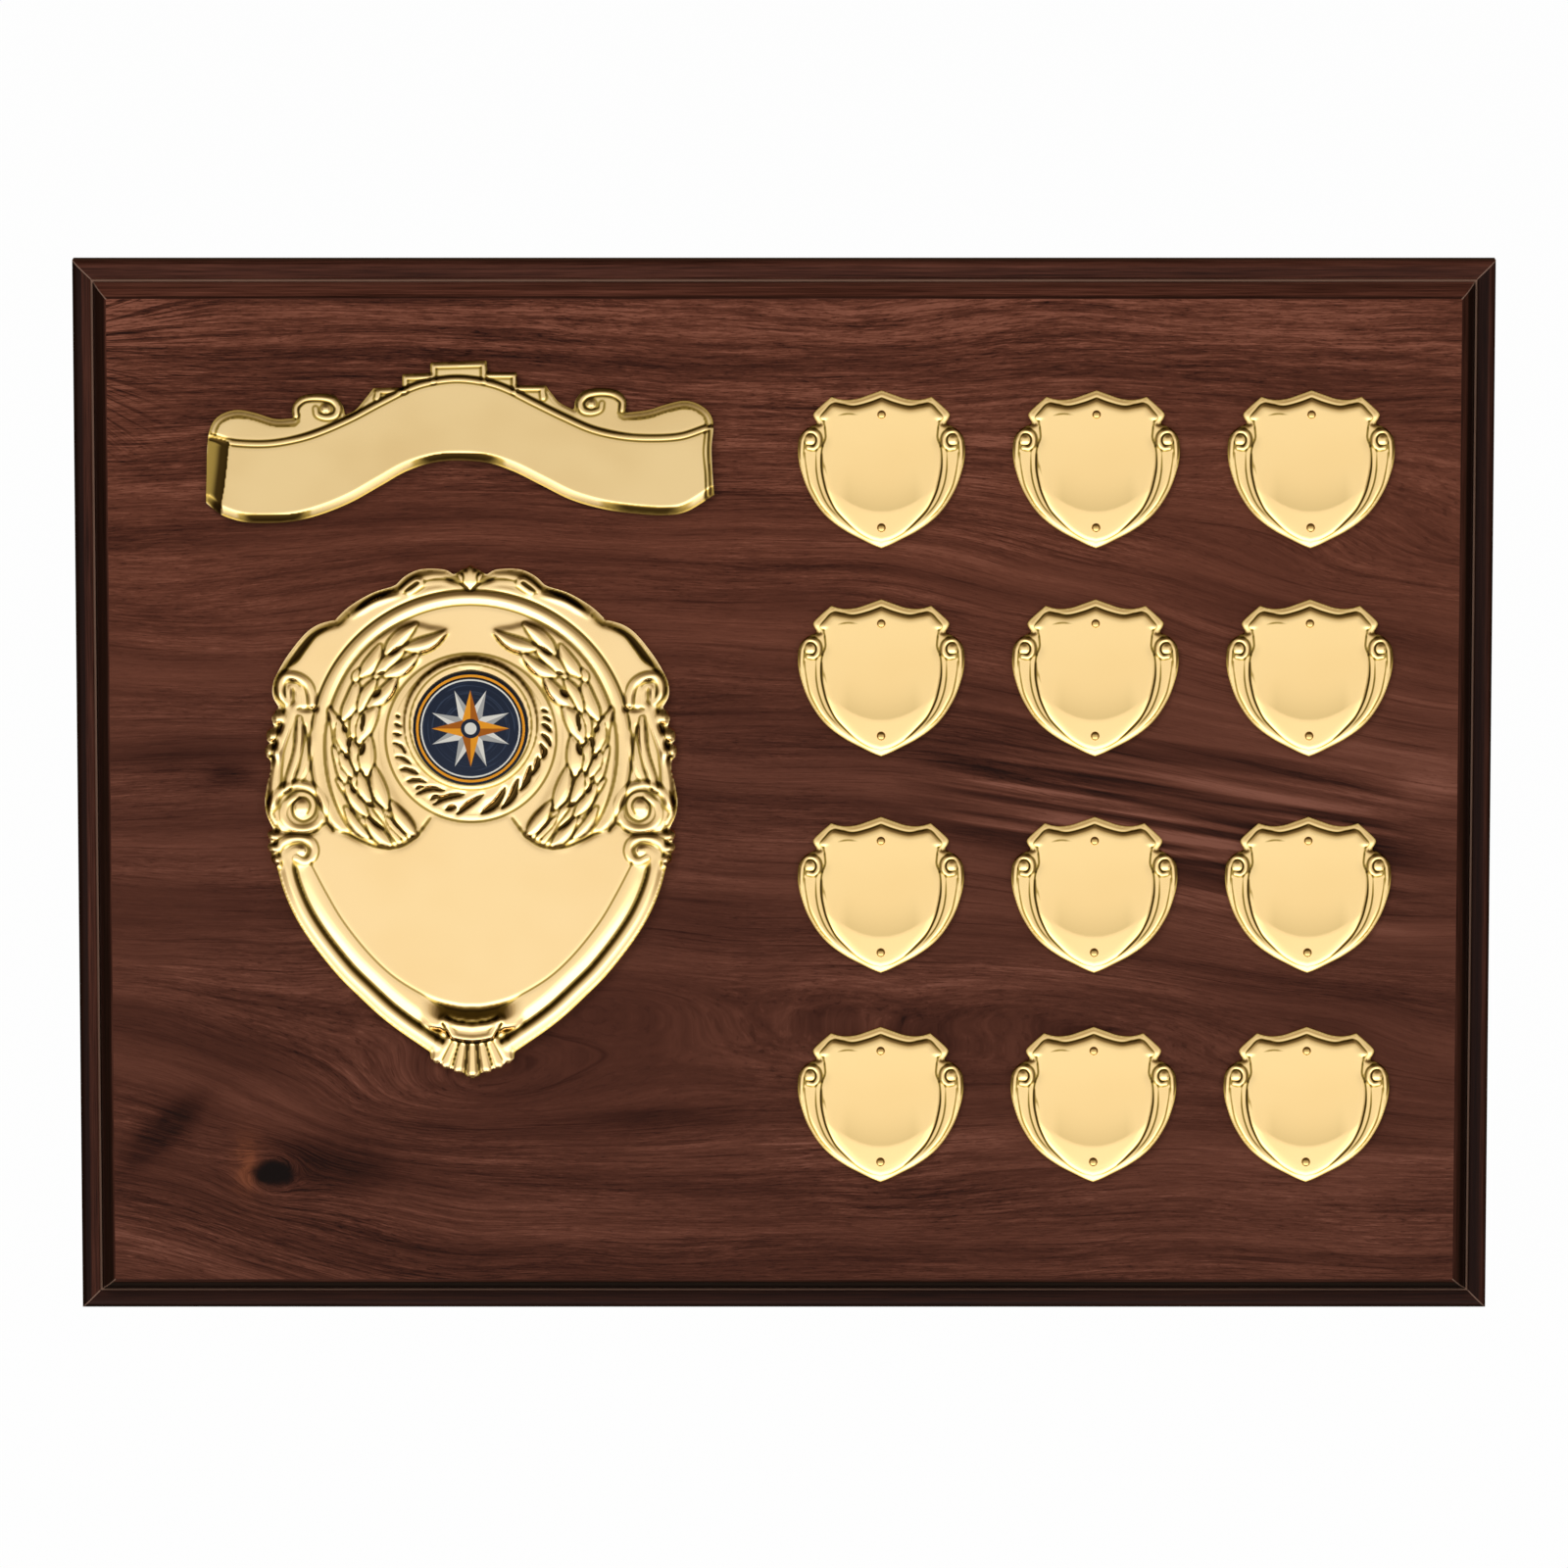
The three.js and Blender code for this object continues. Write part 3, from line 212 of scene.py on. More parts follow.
for name, (place, size, power) in LAMPS.items():
    lamp = bpy.data.objects.new(name, bpy.data.lights.new(name, "AREA"))
    lamp.data.energy, lamp.data.size = power, size
    lamp.location = place
    lamp.rotation_euler = (-lamp.location).to_track_quat("-Z", "Y").to_euler()
    lamp.visible_camera = False
    lamp.visible_glossy = False
    bpy.context.scene.collection.objects.link(lamp)

table = Finish(bpy.data.materials.new("white_table"))
lit = table.node("BsdfPrincipled", values={
    "Base Color": TABLE_COLOUR, "Roughness": TABLE_ROUGHNESS})
glow = table.node("Emission", values=[WHITE, 1.0])
shown = table.node("LightPath", output="Is Camera Ray")
table.surface(table.node("MixShader", values=[shown * TABLE_GLOW, lit, glow]))
floor_mesh = bpy.data.meshes.new("floor")
floor_mesh.from_pydata(
    [(sx * TABLE_HALF, sy * TABLE_HALF, 0) for sx, sy in ((-1, -1), (1, -1), (1, 1), (-1, 1))],
    [], [(0, 1, 2, 3)])
floor_mesh.materials.append(table.owner)
floor = bpy.data.objects.new("floor", floor_mesh)
floor.location = (0, 0, cad_box[0][2] - TABLE_GAP)
floor.visible_glossy = False
bpy.context.scene.collection.objects.link(floor)
floor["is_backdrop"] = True


# The board: a flat core with a mahogany veneer on its face. The grain runs from side to side,
# sweeps down behind the right-hand shields, parts round a knot at the lower left and fans out
# at the upper left corner. The satin lacquer leaves the pores a little open.
face_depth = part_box("panel")[0].y
VENEER_TONES = [
    (0.0, (0.016, 0.0046, 0.0028, 1)), (0.28, (0.055, 0.0155, 0.0088, 1)),
    (0.50, (0.096, 0.0290, 0.0165, 1)), (0.74, (0.158, 0.0510, 0.0300, 1)),
    (1.0, (0.265, 0.0960, 0.0610, 1))]
VENEER_GREYING = (0.97, 1.05, 1.14, 1)
BACK_STAIN, BACK_STAIN_LIGHT = (0.14, 0.075, 0.045, 1), (0.24, 0.135, 0.085, 1)
BACK_STARTS, BACK_ENDS = -0.4, -1.2
# Each layer of the grain: its length along and its width across the grain in millimetres, which
# slice of the noise it takes, and the noise's detail, roughness and distortion.
GRAIN_LAYERS = {
    "broad": (190, 9, 0.7, 3, 0.6, 0), "patches": (60, 16, 1.9, 2, 0.55, 0),
    "bands": (90, 2.4, 5.3, 4, 0.66, 0), "fibres": (7, 0.40, 9.4, 4, 0.68, 0.6),
    "pores": (1.9, 0.24, 2.2, 2, 0.5, 0), "streaks": (60, 0.9, 6.6, 3, 0.7, 0)}
# Where a layer passes from the first level to the second, its marks change the tone by so much.
PLAIN_MARKS = [("streaks", 0.57, 0.68, -0.19)]
LIVELY_MARKS = [("streaks", 0.43, 0.33, 0.10), ("pores", 0.58, 0.70, -0.22), ("pores", 0.40, 0.30, 0.16)]
# Light and dark places: x, z, how far each reaches along and up, and the change of tone there.
VENEER_SPOTS = [
    (-96, 94.6, 30, 1.0, -0.20), (-96, -66, 22, 6, 0.12), (-128, 4, 10, 7, -0.10),
    (-119, 4, 5, 2.0, -0.34), (-28, -71, 16, 2, -0.22), (-17, 20, 10, 3, -0.12),
    (138, 0.7, 7, 4, 0.16), (84, -47, 62, 6, -0.10)]
TONE_MIDDLE, BROAD_TONE, BAND_TONE, FIBRE_TONE = 0.54, 1.0, 1.05, 1.35
# Where the grain leaves its straight course. A span is where a change along x or z starts and ends.
SWAY_LENGTH, SWAY_WIDTH, SWAY = 150, 60, 22
SWEEP_SPAN, SWEEP_MIDDLE, SWEEP_REACH, SWEEP_DROP = (10, 150), (120, 14), (150, 55), 26
CORNER_SPAN, CORNER_RISE, CORNER_FLOW = (-154, -62), (-38, -70), 20
KNOT, KNOT_FLATNESS, KNOT_RAGGEDNESS, KNOT_HEART, KNOT_PUSH = (-110.5, -83.3), 0.42, 11, 4, -24.0
KNOT_RIM, KNOT_CORE = (0.23, 0.072, 0.034, 1), (0.006, 0.003, 0.0025, 1)
KNOT_SIDE, KNOT_SHADOW, CORNER_SHADOW = (-116, -81.6), (-99, -82), (-134, -74)
RAYS_START, RAYS_SPAN, RAYS_RISE = (-168, 96.5), (-110, -138), (68, 86)
ROWS_START, ROWS_END, ROWS_REACH = (20, 45), (146, 118), (90, 13)
CALM_MIDDLE, CALM_REACH, CALMING = (-18, 0), (18, 40), 0.25
# The wood is lighter or darker by so much from one place to the other, along an axis.
TONE_SLOPES = [("z", -40, 50, 0.06), ("x", -40, 100, 0.05), ("z", -60, -110, -0.02)]


def coated(names, skin):
    """Pieces kept as the CAD made them, with a skin of their own."""
    for name in names:
        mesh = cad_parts[name].data
        mesh.materials.clear()
        mesh.materials.append(skin)


def round_spot(x, z, middle, reach):
    """1 at the middle, falling softly to 0 about one reach away."""
    off = ((x - middle[0]) / reach[0]) ** 2 + ((z - middle[1]) / reach[1]) ** 2
    return 1 / (1 + off * off)


def grain_layer(finish, name, along, across):
    length, width, slice_at, detail, roughness, distortion = GRAIN_LAYERS[name]
    at = finish.vector(along / length, slice_at, across / width)
    return finish.noise(at, detail, roughness, distortion)


veneer = Finish(bpy.data.materials.new("mahogany_veneer"))
between = veneer.between
x, y, z = veneer.place()
sway = veneer.noise(veneer.vector(x / SWAY_LENGTH, 3.1, z / SWAY_WIDTH), 2.0) - 0.5
sweep = between(x, *SWEEP_SPAN) * round_spot(x, z, SWEEP_MIDDLE, SWEEP_REACH)
ragged = veneer.noise(veneer.vector(x / 3.4, 6.1, z / 2.6), 3.0, 0.6) - 0.5
knot_x, knot_z = x - KNOT[0], z - KNOT[1]
knot_far = knot_x * knot_x * KNOT_FLATNESS + knot_z * knot_z + ragged * KNOT_RAGGEDNESS + KNOT_HEART
corner_flow = between(x, *CORNER_SPAN) * between(z, *CORNER_RISE)
grain = z + sway * SWAY + sweep * SWEEP_DROP + knot_z * (KNOT_PUSH / knot_far) + corner_flow * CORNER_FLOW
layers = {name: grain_layer(veneer, name, x, grain) for name in GRAIN_LAYERS}
fibres, bands = layers["fibres"], layers["bands"]

lively = 0.28 + between(layers["patches"], 0.40, 0.62) * 0.5 + between(z, 40, 95) * 0.85
lively = lively * (1 - between(x, 30, 90) * 0.25) + between(z, -60, -100) * 0.35
calm = 1 - round_spot(x, z, CALM_MIDDLE, CALM_REACH) * CALMING
tone = TONE_MIDDLE + (layers["broad"] - 0.5) * BROAD_TONE * calm
tone = tone + ((bands - 0.5) * BAND_TONE + (fibres - 0.5) * FIBRE_TONE) * lively * calm
for marks, where in (PLAIN_MARKS, calm), (LIVELY_MARKS, lively):
    for layer, none_at, full_at, change in marks:
        tone = tone + between(layers[layer], none_at, full_at) * change * where
for axis, start, end, change in TONE_SLOPES:
    tone = tone + between(x if axis == "x" else z, start, end) * change
for spot_x, spot_z, reach_x, reach_z, change in VENEER_SPOTS:
    tone = tone + round_spot(x, z, (spot_x, spot_z), (reach_x, reach_z)) * change

# The rays at the upper left corner: fine cracks that fan out from a place off the board.
slope = (z - RAYS_START[1]) / (x - RAYS_START[0])
rays = veneer.noise(veneer.vector((x - RAYS_START[0]) / 26, 4.4, slope * 58), 3.0, 0.62)
cracks = veneer.noise(veneer.vector(x / 1.3, 8.8, slope * 90), 2.0, 0.5)
fan_share = between(x + between(z, 97, 93) * 14, *RAYS_SPAN) * between(z, *RAYS_RISE)
tone = tone + fan_share * (0.22 - between(rays, 0.50, 0.58) * 0.56 - between(cracks, 0.56, 0.66) * 0.14)

# The swept rows behind the right-hand shields, and the dark wood beside the knot.
arc = z + 2 + (x - 60) * 0.16
rows = veneer.noise(veneer.vector(x / 120, 3.3, arc / 3.1), 2.0, 0.5)
swept = between(x, *ROWS_START) * between(x, *ROWS_END) * round_spot(x, arc, (80, 0), ROWS_REACH)
tone = tone + swept * (between(rows, 0.46, 0.36) * 0.40 - between(rows, 0.46, 0.56) * 0.50)
tone = tone - round_spot(x + ragged * 6, z + ragged * 4, KNOT_SHADOW, (15, 7)) * 0.36
right, above = x - CORNER_SHADOW[0], z - CORNER_SHADOW[1]
slanted = round_spot(right * 0.75 + above * 0.66, above * 0.75 - right * 0.66, (0, 0), (11, 3.6))
tone = tone - slanted * 0.44 * between(bands, 0.2, 0.5)

skin = veneer.ramp(tone, VENEER_TONES, "LINEAR")
greyer = veneer.mix(1.0, skin, VENEER_GREYING, "MULTIPLY")
skin = veneer.mix(between(z, 60, -10), skin, greyer)
knot_edge = round_spot(x + ragged * 5, z, KNOT_SIDE, (2.4, 5.2)) * between(fibres, 0.3, 0.6)
skin = veneer.mix(knot_edge * 0.9, skin, KNOT_RIM)
skin = veneer.mix(between(knot_far, 19, 7), skin, KNOT_CORE)
back = veneer.mix(between(bands, 0.4, 0.6), BACK_STAIN, BACK_STAIN_LIGHT)
skin = veneer.mix(between(y, BACK_ENDS, BACK_STARTS), skin, back)
open_pores = veneer.node("Bump", {}, {
    "Strength": 0.35, "Distance": 0.12 * MM, "Height": fibres * 0.5 - between(layers["pores"], 0.6, 0.75)})
veneer.surface(veneer.node("BsdfPrincipled", values={
    "Base Color": skin, "Roughness": 0.36 + fibres * 0.16, "Specular IOR Level": 0.06,
    "Normal": open_pores}))

coated(["panel"], veneer.owner)


# The moulding: four lengths of dark stained wood round the core, mitred at the corners. From the outside
# in, each has a rounded shoulder, a fine fillet with a painted highlight and a cove down to the face. Each
# rail carries its own painted shade, lightest on the top rail and darkest on the right, as the light falls
# on it.
RAIL_TONES = [
    (0.36, (0.036, 0.0115, 0.0070, 1)), (0.5, (0.105, 0.0340, 0.0215, 1)),
    (0.66, (0.200, 0.0680, 0.0440, 1))]
RAIL_STAIN_AND_SHADE = (0.006, 0.0022, 0.0016, 1)
FILLET_HIGHLIGHT, MITRE_LINE = (0.24, 0.145, 0.105, 1), (0.26, 0.16, 0.12, 1)
# How dark the stain and painted shade lie on each rail: (millimetres in from the edge, share of stain and
# shade).
RAIL_STAIN_AND_SHADE_DEPTHS = {
    "top_rail": [(0, 0.5), (1, 0.35), (4.0, 0.45), (4.6, 0.0), (6.8, 0.05), (7.2, 0.8), (7.6, 0.5)],
    "left_rail": [(0, 0.9), (1.9, 0.9), (2.3, 0.35), (4.0, 0.40), (4.8, 0.90), (7.1, 0.86), (7.5, 0.3)],
    "bottom_rail": [(0, 0.9), (1.3, 0.78), (4.0, 0.78), (4.8, 0.93), (6.8, 0.93), (7.1, 0.3), (7.6, 0.4)],
    "right_rail": [(0, 0.85), (0.8, 0.6), (1.4, 0.6), (1.7, 0.88), (6.0, 0.93), (6.4, 0.6), (7.6, 0.6)]}
# The section of a rail: (millimetres in from the edge, height above the wall).
RAIL_WIDTH = 7.6
RAIL_SECTION = [
    (0.0, 0.0), (0.0, 4.6), (0.12, 5.1), (0.4, 5.55), (0.9, 5.9), (1.6, 6.0), (2.5, 5.98), (3.2, 5.9),
    (3.75, 5.78), (3.9, 5.9), (4.0, 6.35), (4.15, 6.6), (4.4, 6.6), (4.5, 6.5), (4.55, 6.2),
    (4.8, 7.4), (5.2, 8.6), (5.7, 9.75), (6.2, 10.6), (6.7, 11.3), (7.2, 11.8), (RAIL_WIDTH, 12.0),
    (RAIL_WIDTH, 0.0)]
FILLET_START, FILLET_END, FILLET_FADE = 3.9, 4.55, 0.15
MITRE_WIDTH = 0.18


def rail_finish(name, lengthwise, stain_and_shade_depths):
    """Dark stained wood with its grain along one rail, darkened by painted shade across its section, with a
    painted highlight on the fillet and a pale hairline where mitres meet.
    """
    stain = Finish(bpy.data.materials.new(name))
    x, y, z = stain.place()
    along, thwart = (x, z) if lengthwise else (z, x)
    streaks = stain.noise(stain.vector(along / 70, y / 1.2, thwart / 0.9), 4.0, 0.62)
    fine = stain.noise(stain.vector(along / 12, y / 0.35, thwart / 0.3), 3.0)
    skin = stain.ramp(streaks * 0.6 + fine * 0.4, RAIL_TONES, "LINEAR")
    from_side, from_end = board_x / MM - abs(x), board_z / MM - abs(z)
    inset = from_side.least(from_end)
    # Stain and painted shade, by how far in from the edge.
    shares = [(at / 8, depth) for at, depth in stain_and_shade_depths]
    skin = stain.mix(stain.ramp(inset / 8, shares, "LINEAR"), skin, RAIL_STAIN_AND_SHADE)
    # The pale line on the fillet is a painted highlight.
    worn_and_highlight = stain.between(inset, FILLET_START, FILLET_START + FILLET_FADE)
    worn_and_highlight = worn_and_highlight * stain.between(inset, FILLET_END, FILLET_END - FILLET_FADE)
    skin = stain.mix(worn_and_highlight * 0.75, skin, FILLET_HIGHLIGHT)
    skin = stain.mix((abs(from_side - from_end) < MITRE_WIDTH) * 0.85, skin, MITRE_LINE)
    ripple = stain.node("Bump", {}, {"Strength": 0.25, "Distance": 0.08 * MM, "Height": streaks + fine})
    return stain.surface(stain.node("BsdfPrincipled", values={
        "Base Color": skin, "Roughness": 0.30 + fine * 0.12, "Specular IOR Level": 0.07, "Normal": ripple}))


def mesh_piece(name, points, faces, skin):
    """A smooth-shaded piece from points in metres and faces."""
    mesh = bpy.data.meshes.new(name)
    mesh.from_pydata([tuple(point) for point in points], [], [tuple(face) for face in faces])
    mesh.materials.append(skin)
    mesh.polygons.foreach_set("use_smooth", [True] * len(mesh.polygons))
    mesh.validate()
    mesh.update()
    piece = bpy.data.objects.new(name, mesh)
    bpy.context.scene.collection.objects.link(piece)
    return piece


board_x, board_z = cad_box[1][0], cad_box[1][2]
for name, turns in ("top_rail", 0), ("right_rail", 3), ("bottom_rail", 2), ("left_rail", 1):
    reach, rise_to = (board_x, board_z) if turns % 2 == 0 else (board_z, board_x)
    points = []
    for end in (-1, 1):
        for inset, height in RAIL_SECTION:
            px, pz = end * (reach - inset * MM), rise_to - inset * MM
            for _ in range(turns):
                px, pz = -pz, px
            points.append((px, -height * MM, pz))
    count = len(RAIL_SECTION)
    faces = [(i, (i + 1) % count, (i + 1) % count + count, i + count) for i in range(count)]
    faces += [range(count)[::-1], range(count, 2 * count)]
    skin = rail_finish(name + "_wood", turns % 2 == 0, RAIL_STAIN_AND_SHADE_DEPTHS[name])
    rail = mesh_piece(name + "_moulding", points, faces, skin)
    rail.data.set_sharp_from_angle(angle=radians(50))
    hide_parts(name)
    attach(rail, "root")


# The hanger: a small plated steel plate with a keyhole, let in flush in the board's back, and its
# two countersunk screws. These keep the shape that the CAD gave them.
STEEL, STEEL_DULL, STEEL_SCRATCH = (0.56, 0.56, 0.54, 1), (0.36, 0.36, 0.35, 1), (0.72, 0.72, 0.70, 1)


def plated_steel(name, roughness):
    """Zinc-plated steel: cloudy, with fine marks from the rollers."""
    steel = Finish(bpy.data.materials.new(name))
    x, y, z = steel.place()
    cloud = steel.noise(steel.vector(x / 4, y / 4, z / 6), 3.0, 0.6)
    rolled = steel.noise(steel.vector(x / 0.4, y / 0.4, z / 9), 3.0, 0.6)
    skin = steel.mix(steel.between(cloud, 0.35, 0.65), STEEL_DULL, STEEL)
    skin = steel.mix(steel.between(rolled, 0.60, 0.72) * 0.5, skin, STEEL_SCRATCH)
    marks = steel.node("Bump", {}, {"Strength": 0.2, "Distance": 0.03 * MM, "Height": rolled})
    return steel.surface(steel.node("BsdfPrincipled", values={
        "Base Color": skin, "Metallic": 0.9, "Roughness": roughness + cloud * 0.2, "Normal": marks}))


coated(["keyhole_plate"], plated_steel("hanger_plate_steel", 0.28))
coated(["upper_hanger_screw", "lower_hanger_screw"], plated_steel("hanger_screw_steel", 0.20))


# The foam pads: closed-cell foam squares with glue on both sides. Three hold the scroll and three
# hold the main shield, out of sight.
FOAM, FOAM_CELL, FOAM_DIRT = (0.80, 0.80, 0.78, 1), (0.62, 0.62, 0.60, 1), (0.52, 0.49, 0.43, 1)
PADS = [
    "scroll_pad_left", "scroll_pad_middle", "scroll_pad_right",
    "shield_pad_left", "shield_pad_right", "shield_pad_lower"]

foam = Finish(bpy.data.materials.new("pad_foam"))
x, y, z = foam.place()
cells = foam.noise(foam.vector(x / 0.5, y / 0.5, z / 0.5), 2.0)
wear = foam.noise(foam.vector(x / 6, y / 2, z / 6), 2.0)
skin = foam.mix(foam.between(cells, 0.4, 0.65), FOAM_CELL, FOAM)
skin = foam.mix(foam.between(wear, 0.5, 0.8) * 0.4, skin, FOAM_DIRT)
pitted = foam.node("Bump", {}, {"Strength": 0.5, "Distance": 0.1 * MM, "Height": cells})
foam.surface(foam.node("BsdfPrincipled", values={
    "Base Color": skin, "Roughness": 0.85 + cells * 0.1, "Normal": pitted}))
coated(PADS, foam.owner)


# The twelve small shields: thin brass stamped over a die and lacquered bright. Each has a rolled
# edge, fluted sides that end in volutes, and a dished field. All come off the same die.
SHIELD_STEP, SHIELD_HALF_WIDTH, SHIELD_HALF_HEIGHT = 0.22, 18.6, 17.8
SHIELD_TOP_EDGE = [(0, 17), (2.5, 16.1), (5, 15.25), (7.2, 14.95), (9, 15.1), (10.7, 15.6)]
SHIELD_NOTCH = [(10.7, 15.6), (12.6, 13.95), (14.3, 12.3), (14.5, 11.4), (13.6, 9.9)]
SHIELD_SIDE = [
    (13.6, 9.9), (14.6, 9.5), (16.3, 8.5), (17.5, 6.9), (17.85, 4.8), (17.75, 2.3), (17.2, -0.3),
    (15.75, -4.3), (13.4, -8.2), (10.9, -10.9), (7.6, -13.3), (4.2, -15.1), (2, -16.2), (0, -17)]
SHIELD_TOP_LINE = [
    (0, 15.4), (2.7, 14.4), (5.9, 13.65), (8.5, 14.0), (10.4, 14.2), (12.0, 12.7), (13.1, 11.2)]
SHIELD_FIELD_EDGE = [
    (12.3, 10.5), (12.0, 8.1), (12.0, 6.7), (12.6, 5), (12.86, 3.3), (12.86, 0.5), (12.4, -2.3),
    (11.6, -5.2), (9.9, -8.6), (7.4, -11.4), (5, -13.5), (2.4, -15.0), (0, -15.6)]
SHIELD_SECOND_LINE = [
    (13.9, 4.4), (14.0, 2.7), (13.9, -0.4), (13.3, -3.5), (11.9, -6.9), (9.6, -10), (7.0, -12.6),
    (4.2, -14.4)]
SHIELD_THIRD_LINE = [
    (16.4, 3.6), (16.2, 1), (15.4, -2.9), (14.1, -5.7), (12.2, -8.6), (8.8, -11.7), (5.4, -14.3)]
SHIELD_CURL = [
    (17.05, 1.0), (17.2, 4.0), (16.9, 6.6), (15.9, 8.2), (14.5, 8.3), (13.5, 7.3), (13.4, 5.8),
    (14.3, 4.7), (15.6, 4.8)]
SHIELD_TOP_CREASE = SHIELD_TOP_LINE + [(12.5, 10.4)]
# Each mark: what it is, its line, its size, its width, its strength along the line and, for a rib, how dark
# the painted shade lines at its feet are. A crease or a rib is sized in millimetres, a stain line in
# darkness of painted shade and painted dark reflection.
SHIELD_MARKS = [
    ("crease", SHIELD_TOP_CREASE, 0.14, 0.34, (1, 1, 1, 1, 0.4)),
    ("stain", SHIELD_TOP_CREASE, 1.4, 0.20, (1, 1, 1, 1, 0.6)),
    ("crease", SHIELD_FIELD_EDGE[3:], 0.16, 0.34, (0.3, 1, 1, 1, 0.7, 0.4)),
    ("stain", SHIELD_FIELD_EDGE[3:], 1.6, 0.22, (0.3, 1, 1, 1, 0.7, 0.4)),
    ("crease", SHIELD_SECOND_LINE, 0.16, 0.34, (0.4, 1, 1, 1, 0.5, 0)),
    ("stain", SHIELD_SECOND_LINE, 1.6, 0.22, (0.4, 1, 1, 1, 0.5, 0)),
    ("crease", SHIELD_THIRD_LINE, 0.16, 0.34, (0.5, 1, 1, 0.9, 0.4, 0)),
    ("stain", SHIELD_THIRD_LINE, 1.6, 0.22, (0.5, 1, 1, 0.9, 0.4, 0)),
    ("stain", SHIELD_FIELD_EDGE[:4], 1.2),
    ("rib", SHIELD_CURL, 0.38, 1.35, (0.2, 0.9, 1, 1, 0.8), 1.5)]
# Lines of painted dark reflection that lie on one side of the shield only.
SHIELD_ONE_SIDED_MARKS = [
    ("stain", [(-9.3, 11.7), (-7.4, 12.1), (-4.7, 11.9)], 2.2, 0.26, (0.4, 1, 1, 0.3)),
    ("stain", [(-12.6, 3.2), (-12.3, 0.8), (-11.6, -1.6)], 2.4, 0.36, (0.4, 1, 0.3)),
    ("stain", [(11.6, -3.6), (9.6, -8.2), (7.4, -11), (5.2, -13)], 2.0, 0.3, (0.1, 0.6, 1, 1, 0.6))]
SHIELD_EYE, SHIELD_EYE_RADIUS, SHIELD_EYE_RISE = (15.35, 6.5), 1.25, 0.5
# Painted shade across the rim: (millimetres in from the edge, darkness).
SHIELD_RIM_SHADE = [(0, 1.5), (0.22, 1.1), (0.42, 0.1), (1.0, 0), (1.2, 0.8), (1.4, 0), (9, 0)]
SHIELD_LEVEL, SHIELD_RIM_RISE, SHIELD_RIM_WIDTH = 1.15, 0.32, 1.3
SHIELD_WALL_RISE, SHIELD_WALL_WIDTH, SHIELD_WALL_TOP, SHIELD_FIELD_RISE = 0.30, 4.5, 9.5, 0.25
TIDE_FOOT, TIDE_CURVE, PAINTED_HORIZON_SHADE = -9.2, 3.6, 0.8
DISH_LEVEL, DISH_MIDDLE, DISH_CURVE, TIP_SLOPE = 0.10, 2, 0.0013, 0.06
GILT, GILT_WORN = (0.95, 0.69, 0.345, 1), (0.93, 0.66, 0.315, 1)
SMALL_GILT, SMALL_GILT_WORN = (0.95, 0.685, 0.315, 1), (0.93, 0.655, 0.29, 1)
GILT_SHADE_OLIVE, GILT_SHADE_DEEP = (0.37, 0.245, 0.055, 1), (0.030, 0.014, 0.003, 1)
SIDE_SHIELDS = range(1, 13)


def curve(points, step=0.3):
    """A smooth line through the points, as many close points."""
    p = np.array(points, float)
    p = np.vstack([2 * p[0] - p[1], p, 2 * p[-1] - p[-2]])
    line = []
    for a, b, c, d in zip(p[:-3], p[1:-2], p[2:-1], p[3:]):
        count = max(2, int(np.hypot(*(c - b)) / step))
        for t in np.arange(count) / count:
            line.append(0.5 * (2 * b + (c - a) * t + (2 * a - 5 * b + 4 * c - d) * t ** 2
                               + (3 * b - a - 3 * c + d) * t ** 3))
    return np.vstack(line + [p[-2]])


def section(distance, table):
    """Heights or stain across a rim, from a table of (distance in, value), as a smooth line."""
    line = curve(table, 0.05)
    return np.interp(distance, line[:, 0], line[:, 1])


def joined(*runs):
    return np.vstack([runs[0]] + [run[1:] for run in runs[1:]])


def mirrored(line):
    """The line, then back along its mirror image, as one closed outline."""
    back = np.array(line)[::-1] * (-1, 1)
    whole = np.vstack([line, back])
    keep = np.hypot(*(whole - np.roll(whole, 1, 0)).T) > 0.02
    return whole[keep]


def bell(distance, width):
    """1 on a line, falling to nothing about two widths away."""
    return np.exp(-(distance / width) ** 2)


def part_way(value, start, length):
    """0 up to the start and 1 from one length on, with a straight line between."""
    return np.clip((value - start) / length, 0, 1)


